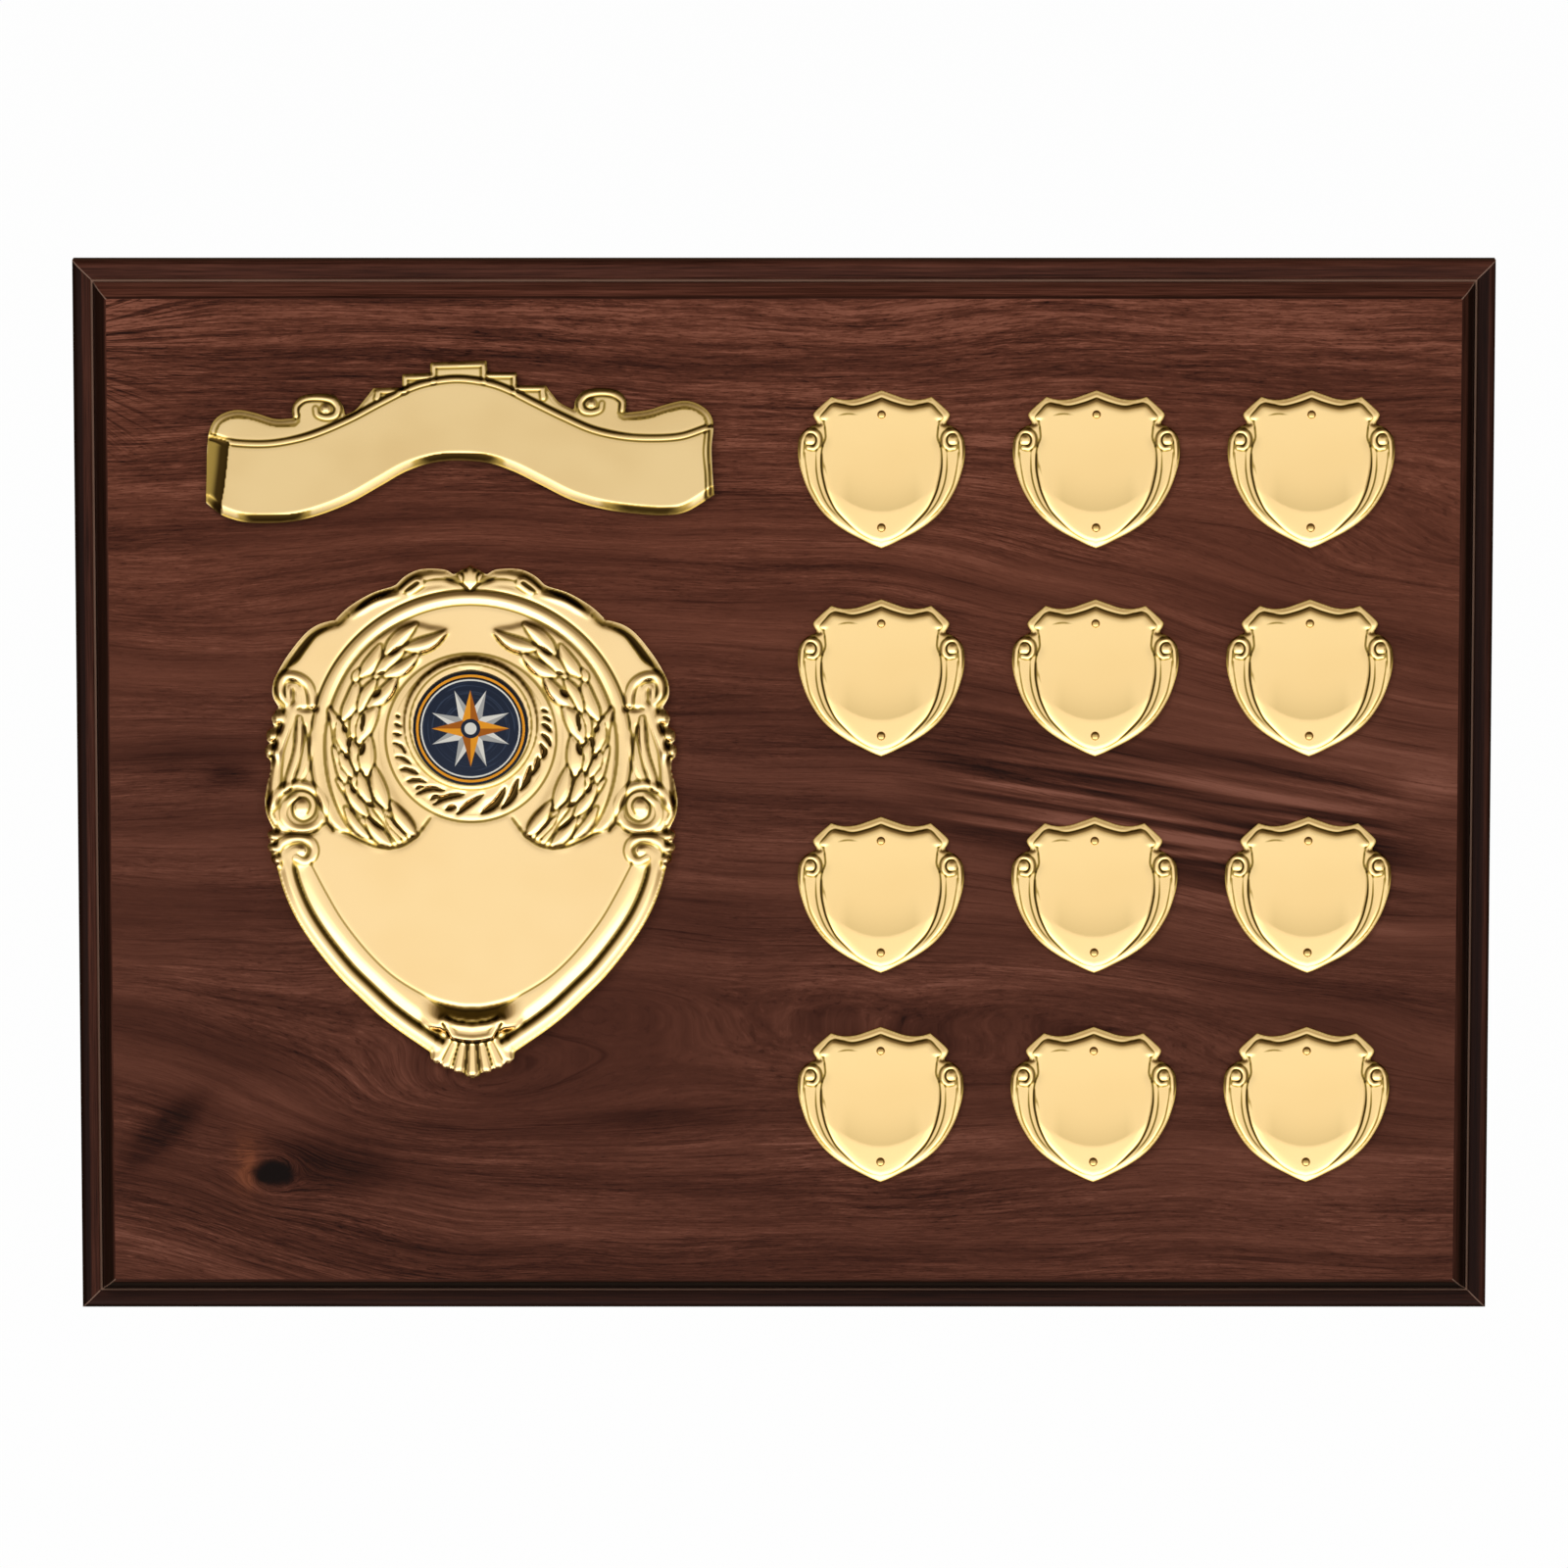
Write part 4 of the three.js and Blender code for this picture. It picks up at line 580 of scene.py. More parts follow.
class Stamping:
    """A stamped sheet as heights above the board, in millimetres, on a fine grid.

    The grid runs u across and w up. Shade is the painted shade and painted dark reflection at each place. A
    die may be worked on its right half alone, and the left half then mirrors it."""

    def __init__(self, width, low, high, step, start=0):
        self.step = step
        self.u = np.arange(start, width + step, step)
        self.w = np.arange(low, high + step, step)
        self.uu, self.ww = np.meshgrid(self.u, self.w)
        self.height, self.shade = np.zeros_like(self.uu), np.zeros_like(self.uu)

    def near(self, line, reach, closed=False):
        """Each place's distance from the line, its share of the way along, its side of the line,
        and the nearest place on it."""
        line = np.array(line, float)
        if closed:
            line = np.vstack([line, line[:1]])
        spans = np.diff(line, axis=0)
        run = np.hypot(*spans.T)
        start = np.r_[0, np.cumsum(run)]
        away = np.full(self.uu.shape, 9e9)
        share, side = np.zeros(self.uu.shape), np.zeros(self.uu.shape)
        at = np.zeros(self.uu.shape + (2,))
        for point, span, length, before in zip(line, spans, run, start):
            if length < 1e-9:
                continue
            low, high = np.minimum(point, point + span) - reach, np.maximum(point, point + span) + reach
            rows = slice(*np.searchsorted(self.w, (low[1], high[1])))
            columns = slice(*np.searchsorted(self.u, (low[0], high[0])))
            du, dw = self.uu[rows, columns] - point[0], self.ww[rows, columns] - point[1]
            t = np.clip((du * span[0] + dw * span[1]) / length ** 2, 0, 1)
            off = np.hypot(du - t * span[0], dw - t * span[1])
            nearer = off < away[rows, columns]
            away[rows, columns][nearer] = off[nearer]
            share[rows, columns][nearer] = ((before + t * length) / start[-1])[nearer]
            side[rows, columns][nearer] = np.sign(span[0] * dw - span[1] * du)[nearer]
            place = np.stack([point[0] + t * span[0], point[1] + t * span[1]], -1)
            at[rows, columns][nearer] = place[nearer]
        return away, share, side, at

    def inside(self, outline):
        """Where the grid lies inside a closed outline."""
        found = np.zeros(self.uu.shape, bool)
        for (u0, w0), (u1, w1) in zip(outline, np.roll(outline, -1, 0)):
            if w0 == w1:
                continue
            rows = slice(*np.searchsorted(self.w, sorted((w0, w1))))
            cross = u0 + (self.w[rows] - w0) * (u1 - u0) / (w1 - w0)
            found[rows] ^= self.uu[rows] < cross[:, None]
        return found

    def depth_inside(self, outline, reach):
        """How far inside an outline each place is, up to reach, and below zero outside."""
        away = np.minimum(self.near(outline, reach, closed=True)[0], reach)
        return np.where(self.inside(outline), away, -away)

    def along(self, line, reach, strengths):
        """Distance from a line, and the strength of its mark at each place along it."""
        away, share, _, _ = self.near(line, reach)
        return away, np.interp(share, np.linspace(0, 1, len(strengths)), strengths)

    def crease(self, line, depth, width, strengths=(1, 1)):
        away, strength = self.along(line, 3 * width, strengths)
        self.height -= depth * strength * bell(np.minimum(away, 9), width)

    def stain(self, line, amount, width=0.25, strengths=(1, 1)):
        """A thin dark line along a crease, of painted shade and painted dark reflection."""
        away, strength = self.along(line, 3 * width, strengths)
        self.shade += amount * strength * bell(np.minimum(away, 9), width)

    def rib(self, line, rise, width, strengths=(1, 1), edging=0):
        """A rounded rib along a line, added to what is there, with dark lines of painted shade at its feet.
        """
        away, size = self.along(line, width, strengths)
        t = np.clip(away / np.maximum(width / 2 * size, 1e-6), 0, 1)
        self.height += rise * size * np.cos(t * pi / 2) ** 2
        self.shade += edging * size * bell(np.minimum(away, 9) - width / 2 * size, 0.24)

    def dome(self, middle, radius, rise):
        t = np.clip(np.hypot(self.uu - middle[0], self.ww - middle[1]) / radius, 0, 1)
        self.height += rise * (1 - t ** 2)

    def press(self, marks, trace):
        """Works a table of marks in turn, each along its traced line."""
        tools = {"crease": self.crease, "stain": self.stain, "rib": self.rib}
        for kind, places, *sizes in marks:
            tools[kind](trace(places), *sizes)

    def soften(self, rounds):
        for _ in range(rounds):
            for axis in (0, 1):
                wide = np.concatenate([
                    np.take(self.height, [0 if axis == 0 or self.u[0] else 1], axis), self.height,
                    np.take(self.height, [-1], axis)], axis)
                before, after = np.delete(wide, [-1, -2], axis), np.delete(wide, [0, 1], axis)
                self.height = (before + 2 * self.height + after) / 4
        self.shade[1:-1, 1:-1] = (
            self.shade[1:-1, 1:-1] * 2 + (self.shade[:-2, 1:-1] + self.shade[2:, 1:-1]) / 2
            + (self.shade[1:-1, :-2] + self.shade[1:-1, 2:]) / 2) / 4

    def unfolded(self):
        """The die with its mirrored half worked too."""
        whole = Stamping(self.u[-1], self.w[0], self.w[-1], self.step, -self.u[-1])
        whole.u, whole.w = np.r_[-self.u[:0:-1], self.u], self.w
        whole.uu, whole.ww = np.meshgrid(whole.u, whole.w)
        whole.height = np.hstack([self.height[:, :0:-1], self.height])
        whole.shade = np.hstack([self.shade[:, :0:-1], self.shade])
        return whole

    def painted_shading(self, depth):
        """The painted shade: darker in hollows and on steep walls, where shade falls, and on the lines of
        painted shade laid on the die.
        """
        wide = np.pad(self.height, 1, "edge")
        hollow = wide[:-2, 1:-1] + wide[2:, 1:-1] + wide[1:-1, :-2] + wide[1:-1, 2:] - 4 * self.height
        steep = 2 * part_way(np.hypot(*np.gradient(self.height, self.step)), 0.9, 0.5)
        return np.where(depth > 0.5, hollow / self.step ** 2 + steep, 0) + self.shade

    def piece(self, name, outline, skin, middle, face, foot=0.0):
        """The closed mesh: the stamped face inside the outline, its turned edge and its back."""
        away, _, _, at = self.near(outline, 3 * self.step, closed=True)
        depth = np.where(self.inside(outline), away, -away)
        kept = depth >= -self.step / 2
        snapped = kept & (depth < self.step / 2)
        across = np.where(snapped, at[..., 0], self.uu)
        upward = np.where(snapped, at[..., 1], self.ww)
        number = np.full(kept.shape, -1)
        number[kept] = np.arange(kept.sum())
        points = np.stack([across[kept] * MM, -self.height[kept] * MM, upward[kept] * MM], -1)
        a, b, c, d = number[:-1, :-1], number[:-1, 1:], number[1:, 1:], number[1:, :-1]
        corners = np.stack([a, b, c, d], -1).reshape(-1, 4)
        held = (corners >= 0).sum(1)
        faces = [tuple(quad) for quad in corners[held == 4]]
        faces += [tuple(v for v in quad if v >= 0) for quad in corners[held == 3]]
        rim = open_edge(faces)
        base, count = len(points), len(rim)
        points = np.vstack([points, points[rim]])
        points[base:, 1] = -foot * MM
        points += (middle[0], face, middle[1])
        for i in range(count):
            j = (i + 1) % count
            faces.append((rim[i], rim[j], base + j, base + i))
        faces.append(tuple(range(base, base + count)))
        piece = mesh_piece(name, points, faces, skin)
        piece.data.polygons[-1].use_smooth = False
        # The painted shade goes with each point of the mesh, for the brass finish to read.
        layer = piece.data.attributes.new("hollow", "FLOAT", "POINT")
        layer.data.foreach_set("value", np.r_[self.painted_shading(depth)[kept], np.zeros(count)])
        piece.data.set_sharp_from_angle(angle=radians(50))
        return piece


def open_edge(faces):
    """The points round the open edge of the faces, in order."""
    used = {}
    for one in faces:
        for start, end in zip(one, one[1:] + one[:1]):
            used[(start, end)] = True
    follow = {end: start for start, end in used if (end, start) not in used}
    loop = [next(iter(follow))]
    while follow[loop[-1]] != loop[0]:
        loop.append(follow[loop[-1]])
    return loop


def gilt_finish(name, bright, worn_and_highlight, roughness=0.10):
    """Lacquered bright brass: almost a mirror, with a faint haze and rubbed patches, darkened by painted
    shade and painted dark reflection in its hollows and along its lines.
    """
    brass = Finish(bpy.data.materials.new(name))
    x, y, z = brass.place()
    cloud = brass.noise(brass.vector(x / 30, y / 6, z / 22), 2.0)
    polish = brass.noise(brass.vector(x / 3.5, y / 1.2, z / 0.35), 3.0)
    skin = brass.mix(brass.between(cloud, 0.35, 0.75), bright, worn_and_highlight)
    # The painted shade from the die darkens the brass: olive where it is light, near black where it is
    # deep.
    hollow = brass.node("Attribute", {"attribute_name": "hollow"}, output=2)
    skin = brass.mix(brass.between(hollow, 0.35, 1.5), skin, GILT_SHADE_OLIVE)
    skin = brass.mix(brass.between(hollow, 1.4, 2.9) * 0.95, skin, GILT_SHADE_DEEP)
    haze = roughness + (cloud - 0.5) * 0.05 + (polish - 0.5) * 0.04
    marks = brass.node("Bump", {}, {"Strength": 0.05, "Distance": 0.02 * MM, "Height": polish})
    return brass.surface(brass.node("BsdfPrincipled", values={
        "Base Color": skin, "Metallic": 1.0, "Roughness": haze, "Normal": marks}))


def middle_of(node):
    """The middle of a CAD piece across and up, and the depths of its front and its back."""
    low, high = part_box(node)
    return (low.x + high.x) / 2, (low.z + high.z) / 2, low.y, high.y


def placed_copy(piece, name, place):
    """Another piece off the same die, moved to its own place."""
    copy = bpy.data.objects.new(name, piece.data)
    copy.location = place
    bpy.context.scene.collection.objects.link(copy)
    return copy


shield_outline = mirrored(joined(curve(SHIELD_TOP_EDGE), curve(SHIELD_NOTCH), curve(SHIELD_SIDE)))
die = Stamping(SHIELD_HALF_WIDTH, -SHIELD_HALF_HEIGHT, SHIELD_HALF_HEIGHT, SHIELD_STEP)
edge = die.depth_inside(shield_outline, 6)
field_top = curve(SHIELD_TOP_LINE + SHIELD_FIELD_EDGE[:1])
field_line = mirrored(joined(field_top, curve(SHIELD_FIELD_EDGE)))
field = die.inside(field_line)
field_depth = die.depth_inside(field_line, 8)
from_field = part_way(-field_depth, 0, SHIELD_WALL_WIDTH) * (die.ww < SHIELD_WALL_TOP)
die.height = SHIELD_LEVEL + SHIELD_WALL_RISE * np.sin(pi * from_field ** 0.8) * part_way(die.ww, -14, 7)
die.height += SHIELD_RIM_RISE * np.sin(part_way(edge, 0, SHIELD_RIM_WIDTH) * pi / 2) ** 2
die.height += np.where(field, SHIELD_FIELD_RISE * (1 - np.exp(-np.clip(field_depth, 0, 9) / 0.5)), 0)

# The field is dished down to an arc near its foot, the tide, and tipped forward below it. Above the tide a
# painted reflection darkens the field, growing towards the tide.
tide = TIDE_FOOT + TIDE_CURVE * (die.uu / 9.5) ** 2
dished = DISH_LEVEL + DISH_CURVE * (die.ww - DISH_MIDDLE) ** 2
tipped = DISH_LEVEL + DISH_CURVE * (tide - DISH_MIDDLE) ** 2 - TIP_SLOPE * (tide - die.ww)
die.height += np.where(field, np.where(die.ww > tide, dished, tipped) * part_way(field_depth, 0, 1.5), 0)
horizon_shade = part_way(tide + 20 - die.ww, 0, 20) ** 1.3 * np.clip(1.2 - (die.uu / 10.6) ** 4, 0, 1)
die.shade += np.where(field & (die.ww > tide), PAINTED_HORIZON_SHADE * horizon_shade, 0)
die.shade += section(edge, SHIELD_RIM_SHADE)
die.press(SHIELD_MARKS, curve)
die.dome(SHIELD_EYE, SHIELD_EYE_RADIUS, SHIELD_EYE_RISE)
die = die.unfolded()
die.press(SHIELD_ONE_SIDED_MARKS, curve)
die.soften(1)

small_gilt = gilt_finish("gilt_small_shield", SMALL_GILT, SMALL_GILT_WORN)
first = die.piece("side_shield_plate", shield_outline, small_gilt, (0, 0), 0)
for number in SIDE_SHIELDS:
    node = f"side_shield_{number:02d}"
    middle_x, middle_z, _, back = middle_of(node)
    shield = placed_copy(first, node + "_plate", (middle_x, back, middle_z))
    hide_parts(node)
    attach(shield, "root")
bpy.data.objects.remove(first)


# The pins: two small brass pins hold each side shield. Each has a low domed head that sits on the
# plate, and a plain shank that goes through it into the wood.
PIN_RADIUS, PIN_RISE, PIN_SEGMENTS, PIN_HEAD_STEPS = 0.95, 0.62, 28, 8
SHANK_RADIUS, SHANK_POINT = 0.45, 0.4
PIN_GILT, PIN_GILT_WORN, PIN_ROUGHNESS = (0.86, 0.60, 0.24, 1), (0.72, 0.46, 0.16, 1), 0.24


def turned(name, profile, skin, segments):
    """A turned piece round the y axis: (radius, forward) pairs in millimetres, from tip to tip."""
    points = [(0, -profile[0][1] * MM, 0)]
    faces = []
    rings = profile[1:-1]
    for radius, forward in rings:
        for i in range(segments):
            angle = 2 * pi * i / segments
            points.append((radius * cos(angle) * MM, -forward * MM, radius * sin(angle) * MM))
    points.append((0, -profile[-1][1] * MM, 0))
    end, last = 1 + (len(rings) - 1) * segments, len(points) - 1
    for i in range(segments):
        j = (i + 1) % segments
        faces.append((0, 1 + i, 1 + j))
        for a in range(1, end, segments):
            b = a + segments
            faces.append((a + j, a + i, b + i, b + j))
        faces.append((end + j, end + i, last))
    return mesh_piece(name, points, faces, skin)


_, _, pin_front, pin_back = middle_of("upper_pin_01")
shank_length = (pin_back - pin_front) / MM - PIN_RISE
head = [(PIN_RADIUS * sin(a), PIN_RISE * cos(a)) for a in np.linspace(0, pi / 2, PIN_HEAD_STEPS)]
shank = [(SHANK_RADIUS, 0.0), (SHANK_RADIUS, SHANK_POINT - shank_length), (0, -shank_length)]
pin_gilt = gilt_finish("gilt_pin", PIN_GILT, PIN_GILT_WORN, PIN_ROUGHNESS)
pin = turned("pin", head + shank, pin_gilt, PIN_SEGMENTS)
pin.data.set_sharp_from_angle(angle=radians(60))
for row in ("upper", "lower"):
    for number in SIDE_SHIELDS:
        node = f"{row}_pin_{number:02d}"
        middle_x, middle_z, front, _ = middle_of(node)
        copy = placed_copy(pin, node + "_head", (middle_x, front + PIN_RISE * MM, middle_z))
        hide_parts(node)
        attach(copy, "root")
bpy.data.objects.remove(pin)


# The main shield: one large brass stamping. A fluted rim with shoulder lobes and volutes frames a
# flat field, two laurel branches and a raised boss for the centre. Its foot ends in a shell. Its
# lines are measured on the plaque's left half, from the middle of the board.
MAIN_MIDDLE = (-67.2, -6.9)
MAIN_STEP, MAIN_HALF_WIDTH, MAIN_LOW, MAIN_HIGH = 0.3, 45.3, -56.4, 56.6
MAIN_CROWN_EDGE = [
    (-67.2, 49.2), (-67.9, 48.7), (-68.9, 48.3), (-69.9, 47.7), (-70.8, 47.3), (-72.4, 48.2),
    (-75, 48.5), (-77.5, 48.4), (-79.5, 47.8), (-81.5, 46.6), (-83, 45.1)]
MAIN_LOBE_EDGE = [
    (-83, 45.1), (-84, 44.6), (-86, 44), (-88, 43.3), (-90, 42.3), (-92, 41.1), (-94, 39.6),
    (-96.2, 37.4)]
MAIN_SHOULDER_EDGE = [
    (-96.2, 37.4), (-98, 37), (-100, 36.3), (-102, 35), (-104, 32.9), (-106.2, 30), (-107.5, 28),
    (-108.5, 26.2), (-109.4, 24.3), (-109.75, 22.3), (-109.6, 20.7), (-109, 19.5), (-108.3, 18.4)]
MAIN_BEAD_EDGE = [
    (-108.3, 18.4), (-109.2, 17.6), (-109.9, 16.3), (-109.6, 14.9), (-109.4, 14.3), (-110.8, 13.4),
    (-111.2, 12.2), (-110.8, 11.1), (-110.3, 10.8), (-111.2, 9.9), (-111.5, 8.9), (-111.2, 7.9),
    (-110.4, 7.1), (-110.2, 6.2)]
MAIN_HIP_EDGE = [
    (-110.2, 6.2), (-110.3, 4.7), (-110.9, 2.2), (-111.2, 0.5), (-111.5, -1.6), (-111.4, -3.7),
    (-111, -5.3), (-110.2, -7), (-109.7, -8)]
MAIN_LOW_BEAD_EDGE = [
    (-109.7, -8), (-110.8, -8.5), (-111, -9.5), (-110.6, -10.4), (-110.2, -10.7), (-110.9, -11.3),
    (-111, -12.2), (-110.6, -13), (-109.9, -13.3), (-110.3, -13.9), (-110.1, -15), (-109.1, -15.9)]
MAIN_VEE_EDGE = [
    (-109.1, -15.9), (-107.8, -20.9), (-105.8, -25.9), (-103.3, -30.4), (-100, -35.1), (-95.7, -40.4),
    (-91.2, -44.9), (-87.2, -48.7), (-83.2, -51.9), (-79.2, -54.7), (-76.3, -56.7)]
MAIN_SHELL_EDGE = [
    (-76.3, -56.7), (-76.1, -58.2), (-75.3, -59.1), (-74.1, -59.2), (-73.8, -59.9), (-72.9, -60.5),
    (-71.6, -60.3), (-71.2, -61), (-70.1, -61.5), (-69.1, -61.2), (-68.6, -62), (-67.2, -62.6)]
MAIN_EDGES = [
    MAIN_CROWN_EDGE, MAIN_LOBE_EDGE, MAIN_SHOULDER_EDGE, MAIN_BEAD_EDGE, MAIN_HIP_EDGE,
    MAIN_LOW_BEAD_EDGE, MAIN_VEE_EDGE, MAIN_SHELL_EDGE]

# Rims: (millimetres in from the edge, height) and (millimetres in, darkness of painted shade and painted
# reflection), for the brow above and for the vee of the foot below.
BROW_SECTION = [
    (-1, 2.12), (0, 2.12), (0.35, 2.16), (0.8, 2.38), (1.3, 2.62), (1.7, 2.76), (2.4, 2.9), (9, 2.96)]
BROW_SHADE = [(0, 0.3), (0.3, 0.9), (1.1, 1.15), (1.35, 1.9), (1.6, 0.6), (1.9, 0), (9, 0)]
VEE_SECTION = [
    (-1, 2.08), (0, 2.08), (0.35, 2.12), (0.7, 2.36), (1.2, 2.68), (1.9, 3.06), (2.3, 3.18),
    (2.8, 3.06), (3.3, 2.68), (3.8, 2.26), (4.1, 2.14), (4.5, 2.26), (5.2, 2.56), (6.1, 2.82),
    (6.9, 2.95), (9, 2.98)]
VEE_SHADE = [
    (0, 1.7), (0.35, 1.3), (0.55, 0), (1.9, 0), (2.3, 0.6), (2.9, 0.9), (3.2, 1.5), (3.7, 2.2),
    (4.0, 0.7), (4.3, 0), (9, 0)]
VEE_TOP, EDGE_REACH = -8.5, 9

# The field, the groove round it below its top with a line of painted shade, and the ground inside the arch.
MAIN_FIELD_LEVEL, GROUND_LEVEL, GROUND_FOOT = 3.0, 2.85, -9
FIELD_GROOVE, FIELD_GROOVE_WIDTH, FIELD_GROOVE_TOP = 0.16, 0.35, -8
FIELD_SHADE, FIELD_SHADE_WIDTH = 1.5, 0.22
MAIN_FIELD_TOP = [(0.0, 4.0), (8.8, 1.2)]
MAIN_FIELD_EDGE = [
    (-101.5, -15.9), (-98.4, -21.9), (-94.9, -27.9), (-89.9, -34.4), (-84.9, -39.4), (-79.8, -42.9),
    (-74.7, -45.4), (-69.7, -46.6), (-67.2, -46.7)]
MAIN_SHEAF_EDGE = [
    (-101.5, -15.9), (-101.9, -12.5), (-100.9, -8.6), (-99.4, -6.7), (-97.1, -7.4), (-94.1, -8.8),
    (-91.1, -10.3), (-87.8, -11.6), (-84.8, -12), (-82.1, -11.5), (-79.8, -10.1), (-77.9, -8.2),
    (-76, -5.7)]

# The arch band round the wreaths: its middle and inner radius, and its rings of painted shade, of (radius,
# darkness), and of creases, of (radius, depth, width).
ARCH_MIDDLE, ARCH_INNER, ARCH_OUTER, ARCH_FOOT = (-67.2, 9.4), 32.0, 35, -1.8
ARCH_RISE, ARCH_RIDGE, ARCH_HALF_WIDTH = 0.42, 33.0, 1.5
ARCH_SHADES = [(34.55, 1.9), (31.35, 1.3)]
ARCH_CREASES = [(34.6, 0.34, 0.34), (31.3, 0.16, 0.3), (32.5, 0.1, 0.26)]

# Marks above: what each is, its line, size, width, strength along it and a rib's edging, the darkness of
# painted shade at its feet. A stain mark is a line of painted shade and painted dark reflection.
SHOULDER_WEDGE = [
    (-108, 25.3), (-106.3, 26.7), (-104, 28.3), (-102, 31), (-100, 33.5), (-98, 34.8), (-96, 35.8)]
WEDGE_DEPTH, WEDGE_SHADE = 0.7, 3.2
LOBE_CREASE = [(-92.3, 38.7), (-90, 41), (-87, 42.8), (-83.5, 44)]
CROWN_CREASE = [(-77.5, 45.7), (-75, 46.2), (-72.4, 46.2), (-70.2, 45.6), (-68.5, 44.8), (-67, 44.2)]
CAPSULE = [(-81.9, 43.8), (-80.4, 45.2), (-78.6, 46.3), (-77.6, 45.5), (-78.9, 44.3), (-80.3, 43.4)]
CAPSULE_SHADE = 1.8
CREST_MARKS = [
    ("crease", LOBE_CREASE, 0.4, 0.4, (0.3, 1, 1, 0.3)),
    ("stain", LOBE_CREASE, 2.6, 0.4, (0.2, 1, 1, 0.3)),
    ("rib", [(-93.5, 37.2), (-91, 39.3), (-87, 41.6), (-82, 42.9)], 0.5, 2.2, (0.3, 1, 1, 0.4)),
    ("crease", CROWN_CREASE, 0.4, 0.5, (0.4, 1, 1, 1, 1)),
    ("stain", CROWN_CREASE, 2.0, 0.3, (0.4, 1, 1, 1, 1)),
    ("rib", CAPSULE, 0.45, 1.3, (1, 1), 1.2),
    ("crease", [(-78.9, 43.2), (-76.5, 44.6), (-73.5, 45), (-70.5, 44.6)], 0.3, 0.4, (0.3, 1, 1, 0.3))]
FINIAL_ROOT, FINIAL_LEVEL, FINIAL_RISE, FINIAL_OUTLINE = (-67.2, 44.3), 2.5, 0.8, 2.0
FINIAL_BLADES = [((-69.8, 47.6), 1.5), ((-68.7, 48.3), 1.6), ((-67.2, 49.1), 3.0)]
SHOULDER_MARKS = [
    ("rib", [
        (-106.4, 19.4), (-107.9, 21.2), (-108.2, 23.6), (-107.2, 25.3), (-105.8, 25.5), (-103.7, 24.9),
        (-102.1, 23.5), (-101.3, 21.3), (-101.1, 18.8)], 0.5, 2.1, (0.5, 1, 1, 1, 1, 0.9), 1.5),
    ("crease", [
        (-107.2, 20.0), (-106.9, 22.6), (-106.2, 23.9), (-104.9, 23.9), (-103.9, 23.0)],
     0.5, 0.4, (0.4, 1, 1, 1, 0.5)),
    ("rib", [(-106.6, 24), (-106.4, 22.2), (-106.2, 20.5)], 0.5, 1.3, (0.4, 1, 0.5)),
    ("crease", [(-105.4, 24.0), (-105.2, 22), (-105.2, 19.4)], 0.75, 0.6, (0.3, 1, 0.6)),
    ("crease", [(-104.0, 23.6), (-103.6, 21), (-103.6, 18.6)], 0.3, 0.3, (0.3, 1, 1)),
    ("crease", [(-102.8, 23.6), (-102.4, 21), (-102.4, 18.6)], 0.3, 0.3, (0.3, 1, 1)),
    ("crease", [(-104.8, 18.3), (-103, 18.1), (-100.2, 18.2)], 0.6, 0.4, (0.5, 1, 1)),
    ("rib", [(-104.9, 19.0), (-106.3, 14.4), (-108.3, 9.0), (-109.6, 3.0), (-109.9, -2.6)],
     0.6, 3.4, (0.5, 0.9, 1, 1, 0.8), 1.2)]
RIBBON_ROOT, RIBBON_TIP, RIBBON_WIDTH, RIBBON_BOW = (-106.9, 0.6), (-103.9, 16.4), 3.3, 0.1
RIBBON_RISE, RIBBON_GROOVE, RIBBON_OUTLINE = 0.7, 0.15, 1.8
INNER_CURL = [
    (-107.6, -3.2), (-106.0, -0.3), (-103.7, 0.4), (-101.5, -0.4), (-100.5, -2.6), (-101.1, -5.0),
    (-103.2, -6.2), (-105.2, -5.2), (-105.6, -3.2), (-104.6, -1.4), (-102.8, -1.1), (-101.8, -2.6),
    (-102.4, -4.4)]
